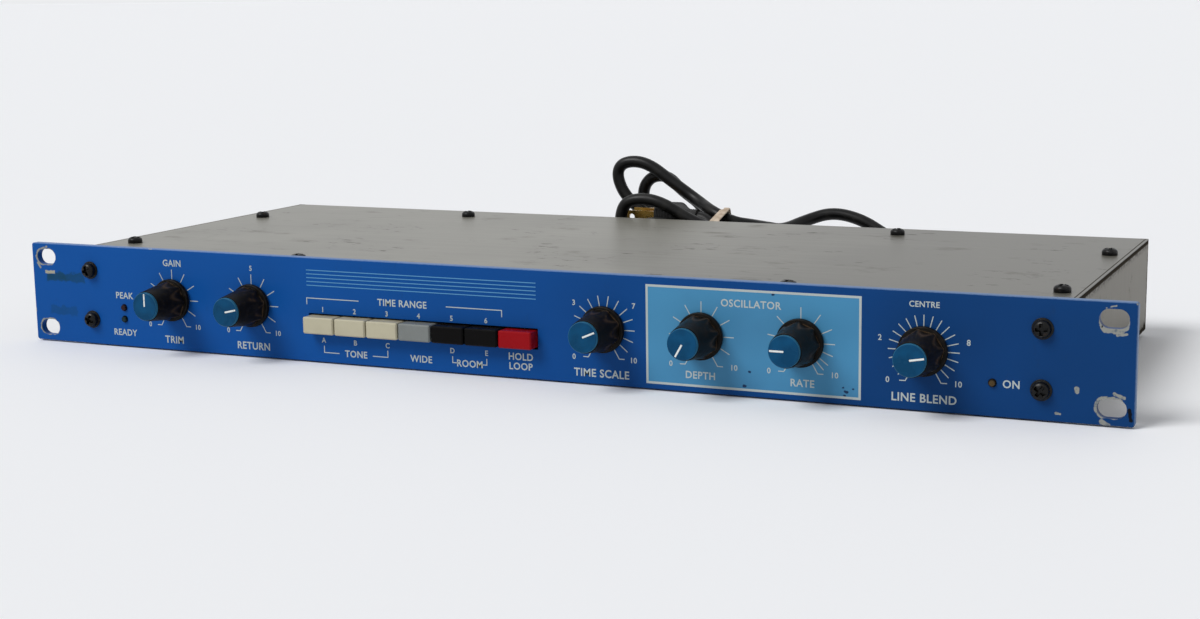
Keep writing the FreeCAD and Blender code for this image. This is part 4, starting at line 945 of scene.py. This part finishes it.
def screw_grid(washer):
    """Shank, washer, head and crown; the crown is a superellipse, fuller than a half round."""
    corners = [(HEAD_RADIUS, 0.0), (HEAD_RADIUS, HEAD_SIDE)]
    if washer:
        corners = [(WASHER_RADIUS, -WASHER_THICKNESS), (WASHER_RADIUS, 0.0)] + corners
    shank = [(SHANK_RADIUS - 0.2, -SHANK_LENGTH), (SHANK_RADIUS, 0.2 - SHANK_LENGTH),
             (SHANK_RADIUS, corners[0][1])]
    lower = rounded_outline(shank + corners, 0.12)
    radius = np.linspace(1.0, CROWN_MIDDLE, CROWN_ROWS) * (HEAD_RADIUS - CROWN_MIDDLE)
    rise = np.sqrt(1 - (radius / HEAD_RADIUS) ** CROWN_POWER)
    crown = HEAD_SIDE + (HEAD_HEIGHT - HEAD_SIDE) * rise
    outline = np.vstack([lower, np.stack([radius, crown], 1)])
    reach = np.broadcast_to(outline[:, :1], (len(outline), SCREW_COLUMNS))
    grid = turned_grid(reach, outline[:, 1]).copy()
    arms = np.abs(grid[..., :2])
    near = smooth_step(-arms.min(-1), -RECESS_HALF_WIDTH - 0.12, -RECESS_HALF_WIDTH + 0.05)
    inside = smooth_step(-arms.max(-1), -RECESS_ARM - 0.1, -RECESS_ARM + 0.5)
    on_crown = (outline[:, 1:] > HEAD_SIDE + 0.01) * 1.0
    grid[..., 2] -= RECESS_DEPTH * near * inside * on_crown
    return grid


def black_screw():
    """Black oxide that has gone grey on the crown and a little rusty."""
    finish = Finish("black_screw", srgb(12, 12, 12), 0.34, specular=0.2)
    worn = finish.clouds(0.55, 0.78, 1.6)
    rust = finish.clouds(0.62, 0.78, 2.3, 5.0)
    colour = finish.mix(worn, srgb(9, 9, 9), srgb(40, 39, 38))
    colour = finish.mix(rust * 0.4, colour, srgb(78, 54, 38))
    return finish.surface(colour, worn, (0.3, 0.5), 0.5, 0.015, 3.0)


CASE_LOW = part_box("bottom_cover")[0] / MM
CASE_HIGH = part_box("top_cover")[1] / MM
COVER_SCREW_EDGE_X = 10.5
COVER_SCREW_SHIFT_X = 3.0
COVER_SCREW_SIDE_Y = (23.0, 123.0)
COVER_SCREW_INNER_X = 109.0
COVER_SCREW_ROWS_Y = (CASE_HIGH.y - 20.0, 6.5)
COVER_TURN_STEP = 37
PANEL_SCREW_X = 209.0
PANEL_SCREW_Z = 11.0
PANEL_TURN_START = 20
PANEL_TURN_STEP = 53


def cover_screw_places():
    edge = CASE_HIGH.x - COVER_SCREW_EDGE_X
    places = [(side * edge, y) for side in (-1, 1) for y in COVER_SCREW_SIDE_Y]
    places += [(side * COVER_SCREW_INNER_X, y) for side in (-1, 1) for y in COVER_SCREW_ROWS_Y]
    return [(x + COVER_SCREW_SHIFT_X, y) for x, y in places]


def add_screws():
    grid = screw_grid(washer=False)
    parts = []
    for index, (x, y) in enumerate(cover_screw_places()):
        lowered = FLAT_HEAD_SHARE if y == COVER_SCREW_ROWS_Y[1] else 1.0
        head = spun(grid, COVER_TURN_STEP * index) * (1, 1, lowered)
        parts.append(tube_grid(head + (x, y, CASE_HIGH.z)))
        parts.append(tube_grid(head * (1, -1, -1) + (x, y, CASE_LOW.z)))
    finish = black_screw()
    screws = add_mesh("cover_pan_heads", *join_parts(parts), finish, "chassis", merge=False)
    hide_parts("cover_screws")
    places = [(sx * PANEL_SCREW_X, sz * PANEL_SCREW_Z) for sx in (-1, 1) for sz in (-1, 1)]
    grid = screw_grid(washer=True)
    seat = PANEL_FACE_Y - WASHER_THICKNESS
    parts = [tube_grid(on_panel(grid, x, z, seat, PANEL_TURN_START + PANEL_TURN_STEP * index))
             for index, (x, z) in enumerate(places)]
    screws = add_mesh("panel_pan_heads", *join_parts(parts), finish, "chassis", merge=False)
    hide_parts("panel_screws")


add_screws()
print("screws:", 2 * len(cover_screw_places()), "in the covers and 4 in the panel")

# %% [markdown]
# The three lamps are unlit: a coloured lens over a dark inside, which reads as a dark bead with
# one bright reflection. Clear plastic of so small a size needs no real refraction. A low
# roughness and a coat give the reflection, and the colour is darkened towards the rim as painted
# shade.


# %% Lamps
LENS_UNSHADED_RADIUS = 0.7
LENS_SHADED_RADIUS = 1.4


def lens(name, colour):
    finish = Finish(name + "_lens", colour, 0.16, specular=0.1)
    # Painted shade: the lens darkens from the inner radius out to the rim.
    rim = finish.ramp(finish.radius(*centre(name)), LENS_UNSHADED_RADIUS, LENS_SHADED_RADIUS)
    uneven = finish.blend(finish.noise(1.4), -0.4, 0.6)
    finish.send("Base Color", finish.mix(rim + uneven, colour, darker(colour, 0.2)))
    finish.shader.inputs["Coat Weight"].default_value = 0.15
    finish.shader.inputs["Coat Roughness"].default_value = 0.08
    return finish


LENSES = (("red_lamp", srgb(40, 12, 16)), ("green_lamp", srgb(8, 38, 42)),
          ("amber_lamp", srgb(74, 58, 30)))
for lamp, colour in LENSES:
    dress(lamp, lens(lamp, colour))

# %% [markdown]
# The case is folded from zinc-plated steel sheet that has gone a warm grey. Rolling leaves faint
# lines along the sheet, so noise is stretched many times along X, and upright on the side walls.
# Handling leaves short dark scuffs, and damp leaves brown specks along the cut edges. The cover
# is darkened towards the right as painted shade, the side walls are a darker copy partly by
# painted shade, and painted shadow lies under the cover's lip and at the rear bottom corner of
# each wall. A dark line runs along the top 1.1 mm in from each side.


# %% Case steel
SEAM_INSET = 1.1
ALONG_X = (0.03, 1, 1)
UPRIGHT = (1, 1, 0.03)
COVER_SHADED_X = (-40.0, 180.0)
UNSHADED_X = (900.0, 1000.0)


def case_steel(name, light, dark, streaks, sheen=0.2, shaded_x=UNSHADED_X):
    """Zinc that goes from light to dark over a range of X, with streaks along one direction."""
    finish = Finish(name, light, 0.4, sheen, sheen)
    x, y, z = finish.axes()
    side = abs(x)
    depth = (CASE_HIGH.z - CASE_LOW.z) / 2 - abs(z - (CASE_LOW.z + CASE_HIGH.z) / 2)
    lines = finish.blend(finish.noise(2.4, 3.0, streaks), -0.5, 1.5)
    shade = finish.ramp(x, *shaded_x) + finish.swing(0.4, 60.0, 3.0)
    colour = finish.mix(lines * 0.35 + shade, light, dark)
    smudge = finish.clouds(0.56, 0.8, 16.0, 5.0, (0.6, 1, 1), 0.65)
    colour = finish.mix(smudge * 0.4, colour, darker(dark, 0.7))
    scuff = finish.clouds(0.62, 0.65, 2.6, 3.0, (0.3, 1, 1), 0.6)
    scuff *= finish.clouds(0.56, 0.62, 30.0, 2.0)
    specks = finish.clouds(0.45, 0.55, 1.3, 4.0, (1, 0.6, 1), 0.7)
    seam = finish.ramp(abs(side - (CASE_HIGH.x - SEAM_INSET)), 0.4, 0.15)
    solid_line = finish.highest(specks, finish.ramp(depth, 2.4, 2.0))
    # Painted shadow: a solid dark band on the walls just under the cover's lip, with brown specks
    # below it.
    lip_shadow_and_specks = finish.ramp(depth, 0.2, 0.5) * finish.ramp(depth, 5.0, 1.8) * solid_line
    corner = finish.ramp(y, CASE_HIGH.y - 4.0, CASE_HIGH.y - 1.0) * specks
    # Painted shadow at the bottom rear corner of each wall.
    rear_corner_shadow = finish.ramp(z, CASE_LOW.z + 5.0, CASE_LOW.z + 2.5)
    rear_corner_shadow *= finish.ramp(y, CASE_HIGH.y - 9.0, CASE_HIGH.y - 6.0)
    near_side = finish.ramp(side, CASE_HIGH.x - 4.0, CASE_HIGH.x - 3.0)
    edges = finish.highest(lip_shadow_and_specks, corner, rear_corner_shadow) * near_side
    # Here grime carries the painted shadows as well as the dark seam line, the scuffs and the
    # specks.
    grime = finish.highest(seam * finish.ramp(depth, 0.5, 0.2), edges, scuff * 0.8)
    finish.send("Base Color", finish.mix(grime * 0.85, colour, srgb(44, 39, 33)))
    for socket in ("Metallic", "Specular IOR Level"):
        finish.send(socket, finish.blend(grime, sheen, 0.0))
    finish.send("Roughness", finish.blend(smudge, 0.34, 0.5))
    finish.bump(lines, 0.008)
    return finish


cover_steel = case_steel("cover_steel", srgb(130, 128, 119), srgb(94, 92, 84), ALONG_X,
                         shaded_x=COVER_SHADED_X)
dress("top_cover", cover_steel)
dress("bottom_cover", cover_steel)
# The side walls get a darker, warmer copy of the case steel: partly their own tone, partly painted
# shade.
dress("side_walls", case_steel("wall_steel_shaded", srgb(115, 110, 98), srgb(95, 91, 81), UPRIGHT, 0.05))
plain_steel = case_steel("plain_steel", srgb(130, 127, 118), srgb(112, 109, 101), ALONG_X)
dress("rear_panel", plain_steel)
dress("front_wall", plain_steel)

# %% [markdown]
# Behind the panel and on the rear wall sit turned and moulded fittings: nickel bushings and nuts,
# a black fuse holder, and the rubber grommet with its ribbed tail. Each has a metal or plastic
# finish of its own, kept plain but never one flat colour.


# %% Fittings
def metal(name, light, dark, roughness):
    """Metal with dull clouds, rougher where it is dark."""
    ends = (roughness + 0.12, roughness)
    return mottled(name, (dark, light), ends, (*SOFT_CLOUDS, 2.0), (0.5, 0.01), metallic=0.9)


def plain_plastic(name, light, dark, roughness, size=3.0):
    """Plastic or rubber with clouds of a size and a grain a fifth as wide."""
    ends = (roughness - 0.05, roughness + 0.12)
    return mottled(name, (dark, light), ends, (*SOFT_CLOUDS, size), (size / 5, 0.012))


dress("potentiometers", metal("zinc", srgb(176, 176, 170), srgb(138, 137, 130), 0.34))
dress("rear_jacks", metal("nickel", srgb(188, 186, 180), srgb(150, 147, 140), 0.24))
dress("fuse_holder", plain_plastic("fuse_plastic", srgb(34, 33, 32), srgb(22, 22, 22), 0.4))
dress("strain_relief", plain_plastic("grommet_rubber", srgb(38, 37, 35), srgb(24, 24, 23), 0.55))
shaft_finish = metal("shaft_aluminium", srgb(182, 182, 178), srgb(150, 150, 146), 0.3)
for dial in DIAL_NAMES:
    dress(dial + "_shaft", shaft_finish)
plunger_finish = plain_plastic("plunger_plastic", srgb(214, 210, 198), srgb(188, 184, 170), 0.45)
for number in range(1, len(button_finishes) + 1):
    dress("button_plunger_%d" % number, plunger_finish)

# %% [markdown]
# Inside stands what the unit needs to work: a board with its chips and capacitors, a heat sink,
# and a mains transformer. The covers hide it all, but an exploded view would show it, so the
# board has its copper tracks under green lacquer and the core its stacked laminations.


# %% Inner pieces
def board_lacquer():
    """Green lacquer, lighter over copper tracks that run in bands of two directions."""
    finish = Finish("board_lacquer", srgb(28, 84, 48), 0.35)
    tracks = []
    for direction, place in (("X", (0.0, 0.0, 0.0)), ("Y", (300.0, 700.0, 0.0))):
        moved = finish.signal("Mapping", {"Vector": finish.coordinates, "Location": place})
        inputs = {"Vector": moved, "Scale": 0.09, "Distortion": 2.0, "Detail": 1.0}
        band = finish.signal("TexWave", inputs, "Fac", bands_direction=direction)
        tracks.append(finish.ramp(band, 0.55, 0.62))
    copper = finish.blend(finish.clouds(0.48, 0.52, 18.0, 1.0), *tracks)
    finish.send("Base Color", finish.mix(copper, srgb(24, 74, 42), srgb(58, 122, 66)))
    finish.bump(copper, 0.035)
    return finish


def laminations():
    """Dark iron sheets half a millimetre thick, stacked along Y."""
    finish = Finish("core_laminations", srgb(72, 68, 64), 0.5, 0.7)
    inputs = {"Vector": finish.coordinates, "Scale": 0.32, "Distortion": 0.4}
    sheets = finish.signal("TexWave", inputs, "Fac", bands_direction="Y")
    finish.send("Base Color", finish.mix(sheets, srgb(48, 45, 42), srgb(96, 91, 85)))
    finish.bump(sheets, 0.06)
    return finish


dress("circuit_board", board_lacquer())
dress("transformer_core", laminations())
coil_tape = plain_plastic("coil_tape", srgb(196, 160, 70), srgb(170, 132, 52), 0.4, 8.0)
dress("transformer_coil", coil_tape)
dress("board_standoffs", metal("standoff_brass", srgb(182, 158, 98), srgb(150, 126, 74), 0.32))
dress("chips", plain_plastic("chip_epoxy", srgb(34, 34, 36), srgb(24, 24, 26), 0.5, 1.6))
sleeve = plain_plastic("capacitor_sleeve", srgb(30, 54, 96), srgb(22, 40, 76), 0.3)
dress("filter_capacitors", sleeve)
dress("heat_sink", metal("heat_sink_aluminium", srgb(170, 172, 174), srgb(140, 142, 144), 0.36))
dress("switch_bank", metal("switch_steel", srgb(168, 168, 164), srgb(136, 135, 130), 0.38))

# %% [markdown]
# The mains lead is one length of flexible cable, 1.42 metres from the strain relief to the
# plug. It leaves the rear of the case, rises in a low hump, and is wound into a flat hank that a
# rubber band pinches at its waist. A quadratic NURBS curve touches the middle of every leg of
# its control polygon, so the hank is laid out with arcs: each pair of stations on the route,
# with the directions there, gives the two corner points of a pair of tangent arcs.

# %% Route of the lead
CORD_DIAMETER = 6.0
LEAD_ROUTE = ((118.0, 205.0, -2.0), (118.0, 223.0, -2.0), (110.0, 238.0, -2.0), (97.0, 245.0, 0.2),
              (82.0, 247.5, 6.4), (68.5, 248.0, 14.4), (53.0, 248.0, 17.6), (40.6, 242.8, 13.5),
              (33.5, 228.2, 10.1), (28.5, 218.5, 12.4))
WAIST_X = 12.0
HANK_FLOOR_Z = -19.3
REAR_LAYER_Y = 204.0
FRONT_LAYER_Y = 189.8
TAIL_LAYER_Y = 196.9
TALL_LOOP_Y = 216.0
LOW_LOOP_Y = 187.6
TALL_LOOP_STEP_Y = 6.8
WAIST_TOP_REAR_Z = 18.0
WAIST_TOP_FRONT_Z = 14.2
WAIST_LOW_REAR_Z = -5.4
WAIST_LOW_FRONT_Z = -12.6
PLUG_ENTRY = (-1.5, 201.2, 18.2)


def hank_stations():
    """Points of the wound stretch, each with its direction, in the order of winding."""
    stations = []

    def add(x, y, z, dx, dy, dz):
        stations.append((Vector((x, y, z)), Vector((dx, dy, dz)).normalized()))

    end = Vector(LEAD_ROUTE[-1])
    heading = (end - Vector(LEAD_ROUTE[-2])).normalized()
    for start in (end, end + heading * CORD_DIAMETER):
        add(*start, *heading)
    floor = HANK_FLOOR_Z
    for turn in (0, 1):
        left_y = TALL_LOOP_Y + TALL_LOOP_STEP_Y * turn
        low = floor + 7.6 * turn
        add(WAIST_X, REAR_LAYER_Y, WAIST_TOP_REAR_Z - 8.2 * turn, -1, 0.12, 0.4 - 0.1 * turn)
        add(-13.0 - 2 * turn, left_y, 28.6 - 2 * turn, -1, 0, 0.66)
        add(-43.8 + 13.3 * turn, left_y, 43.6 - 7.6 * turn, -1, 0, 0)
        add(-50.4 + 10.7 * turn, left_y, 33.4 - 6.9 * turn, 0.41 - 0.41 * turn, 0, -0.91)
        add(-24.0, left_y, 7.0 + 4.0 * turn, 1, 0, -1.1 + 0.1 * turn)
        add(-5.0 + 1.5 * turn, left_y - 1.2 - 3.0 * turn, -4.5 + 7.6 * turn, 1, -0.3, -0.1)
        add(WAIST_X, REAR_LAYER_Y, WAIST_LOW_REAR_Z + 7.6 * turn, 1, 0, -0.1)
        add(64.0, REAR_LAYER_Y + 1, low, 1, 0, 0)
        if turn == 0:
            add(80.0, REAR_LAYER_Y + 1, low, 1, 0, 0)
            add(92.0, REAR_LAYER_Y + 1, -8.0, 0, 0, 1)
            add(60.0, REAR_LAYER_Y + 1, 4.4, -1, 0, 0)
        else:
            add(84.0, TAIL_LAYER_Y, -4.0, 0, -0.35, 1)
            add(60.0, FRONT_LAYER_Y, 4.2, -1, 0, 0)
    for turn in (1, 0):
        low = floor + 7.4 * turn
        add(WAIST_X, FRONT_LAYER_Y, WAIST_TOP_FRONT_Z - 7.7 * turn, -1, 0, 0.24 - 0.13 * turn)
        add(-27.6 + 7.6 * turn, LOW_LOOP_Y, 28.0 - 11.6 * turn, -1, 0, 0)
        add(-37.2 + 7.5 * turn, LOW_LOOP_Y, 18.0 - 12.5 * turn, 0, 0, -1)
        add(-24.0 + 5.0 * turn, LOW_LOOP_Y, floor + 8.2 * turn, 1, 0, 0)
        add(WAIST_X, FRONT_LAYER_Y, WAIST_LOW_FRONT_Z + 8.2 * turn, 1, 0, 0)
        add(50.0, FRONT_LAYER_Y, low, 1, 0, 0)
        if turn == 1:
            add(78.0, FRONT_LAYER_Y, low, 1, 0, 0)
            add(90.0, FRONT_LAYER_Y, -1.0, 0, 0, 1)
            add(60.0, FRONT_LAYER_Y, 11.8, -1, 0, 0)
        else:
            add(84.0, FRONT_LAYER_Y, low, 1, 0, 0)
            add(99.5, TAIL_LAYER_Y - 3, -2.0, 0, 0.12, 1)
            add(64.0, TAIL_LAYER_Y + 0.5, 11.5, -1, 0, 0)
    add(WAIST_X, TAIL_LAYER_Y, 13.6, -1, 0.05, 0.1)
    add(*PLUG_ENTRY, -1, 0, 0)
    return stations


def arc_corners(start, start_way, end, end_way):
    """The two corner points of a pair of tangent arcs between two stations.

    Both legs have one length, which makes the distance between the corners twice that length.
    """
    across = end - start
    a = 2 * (1 - start_way.dot(end_way))
    b = 2 * across.dot(start_way + end_way)
    c = -across.dot(across)
    if a < 1e-6:
        leg = -c / (4 * across.dot(start_way))
    else:
        leg = (math.sqrt(b * b - 4 * a * c) - b) / (2 * a)
    return start + start_way * leg, end - end_way * leg


def cord_points():
    """Control points of the whole lead, from the strain relief to the plug."""
    points = [Vector(point) for point in LEAD_ROUTE]
    stations = hank_stations()
    for (start, start_way), (end, end_way) in zip(stations, stations[1:]):
        points += arc_corners(start, start_way, end, end_way)
    points.append(stations[-1][0])
    return points


def add_cord(finish):
    data = bpy.data.curves.new("mains_lead", "CURVE")
    data.dimensions = "3D"
    spline = data.splines.new("NURBS")
    route = cord_points()
    spline.points.add(len(route) - 1)
    flat = np.ones((len(route), 4))
    flat[:, :3] = np.array([tuple(point) for point in route]) * MM
    spline.points.foreach_set("co", flat.ravel())
    spline.order_u = 3
    spline.use_endpoint_u = True
    spline.resolution_u = 8
    data.bevel_depth = CORD_DIAMETER / 2 * MM
    data.bevel_resolution = 6
    data.use_fill_caps = True
    data.materials.append(finish.material)
    piece = add_object("mains_lead", data)
    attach(piece, "chassis")
    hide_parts("cord_lead", "cord_hank")
    return piece


jacket = mottled("cord_jacket", (srgb(9, 9, 9), srgb(26, 25, 23)), (0.34, 0.55),
                 (0.45, 0.75, 7.0), (1.2, 0.02, 3.0), specular=0.2)
mains_lead = add_cord(jacket)

# %% [markdown]
# A beige rubber band holds the hank. It goes round the waist twice, and its two turns lean
# against each other. A taut loop touches only the outermost strands, so its line is worked out
# direction by direction: the strand that reaches furthest that way, moved out by one radius.


# %% Rubber band
BAND_SAMPLES = 144
BAND_SECTION = 12
BAND_HALF_WIDTH = 1.6
BAND_HALF_THICKNESS = 0.4
BAND_TURNS = ((-1.3, 4.05, 0.9, 0.4), (1.3, 4.95, -1.6, 0.3))


def signed_power(value, power):
    """A power that keeps the sign, which squares up or rounds off a circle."""
    return np.sign(value) * np.abs(value) ** power


def band_turn(place, radius, tilt, phase):
    """One closed turn: a rounded strip whose place along the hank swings by the tilt."""
    strands = np.array(((REAR_LAYER_Y, WAIST_TOP_REAR_Z), (FRONT_LAYER_Y, WAIST_TOP_FRONT_Z),
                        (FRONT_LAYER_Y, WAIST_LOW_FRONT_Z), (REAR_LAYER_Y, WAIST_LOW_REAR_Z)))
    angles = np.append(even_angles(BAND_SAMPLES), 2 * np.pi)
    outward = np.stack([np.cos(angles), np.sin(angles)], 1)
    centres = strands[(strands @ outward.T).argmax(0)] + outward * radius
    section = even_angles(BAND_SECTION)
    across = BAND_HALF_WIDTH * signed_power(np.cos(section), 0.5)
    out = BAND_HALF_THICKNESS * signed_power(np.sin(section), 0.7)
    x = WAIST_X + place + tilt * np.cos(angles - phase)[:, None] + across
    yz = centres[:, None] + outward[:, None] * out[:, None]
    grid = np.concatenate([x[..., None], yz], -1)
    return grid.reshape(-1, 3), grid_faces(BAND_SAMPLES + 1, BAND_SECTION).tolist()


band_colours = (srgb(168, 148, 126), srgb(200, 184, 164))
rubber = mottled("band_rubber", band_colours, (0.6,), (*SOFT_CLOUDS, 4.0), (0.7, 0.03, 3.0))
band_parts = join_parts([band_turn(*turn) for turn in BAND_TURNS])
band = add_mesh("rubber_band", *band_parts, rubber, "chassis")
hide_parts("cord_band")

# %% [markdown]
# The plug is moulded onto the lead: a round ribbed neck swells into a flat oval body with finger
# ridges. Its sections are superellipses whose exponent rises along the plug, which turns a
# circle into a rounded block. The brass blades are in the frame and only need their metal.


# %% Plug
PLUG_LENGTH = 20.0
PLUG_NECK_RADIUS = 4.2
PLUG_HALF_WIDTH = 9.6
PLUG_HALF_THICKNESS = 7.0
PLUG_ROWS = 97
PLUG_COLUMNS = 96
SWELL_START = 3.5
SWELL_END = 11.0
SQUARENESS = 1.4
RIB_DEPTH = 0.35
RIB_STEP = 1.2
RIBS_END = 4.8
RIDGE_DEPTH = 0.4
RIDGE_STEP = 1.5
RIDGES_END = 18.5


def plug_grid():
    """Superellipses: |y / a| and |z / b|, each to the power n, add up to one at every section."""
    along = np.linspace(0, PLUG_LENGTH, PLUG_ROWS)[:, None]
    swell = smooth_step(along, SWELL_START, SWELL_END)
    half_width = PLUG_NECK_RADIUS + (PLUG_HALF_WIDTH - PLUG_NECK_RADIUS) * swell
    half_thickness = PLUG_NECK_RADIUS + (PLUG_HALF_THICKNESS - PLUG_NECK_RADIUS) * swell
    ribs = RIB_DEPTH * np.sin(np.pi * along / RIB_STEP) ** 2 * (along < RIBS_END)
    ridged = (along > SWELL_END) * (along < RIDGES_END)
    ridges = RIDGE_DEPTH * np.sin(np.pi * (along - SWELL_END) / RIDGE_STEP) ** 2 * ridged
    rounding = 1 - np.sqrt(1 - np.clip(along - PLUG_LENGTH + 1, 0, 0.995) ** 2)
    power = 2 / (2 + SQUARENESS * swell)
    angles = even_angles(PLUG_COLUMNS)
    cosine = np.cos(angles)
    y = (half_width - ribs - rounding - ridges * np.abs(cosine)) * signed_power(cosine, power)
    z = (half_thickness - ribs - rounding) * signed_power(np.sin(angles), power)
    x = np.broadcast_to(-along, y.shape)
    return np.stack([x, y, z], -1) + np.array(PLUG_ENTRY)


plug_rubber = plain_plastic("plug_rubber", srgb(34, 33, 32), srgb(20, 20, 20), 0.46)
plug = add_mesh("moulded_plug", *tube_grid(plug_grid()), plug_rubber, "chassis", merge=False)
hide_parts("plug_body")
dress("plug_blades", metal("blade_brass", srgb(212, 176, 96), srgb(170, 132, 62), 0.22))
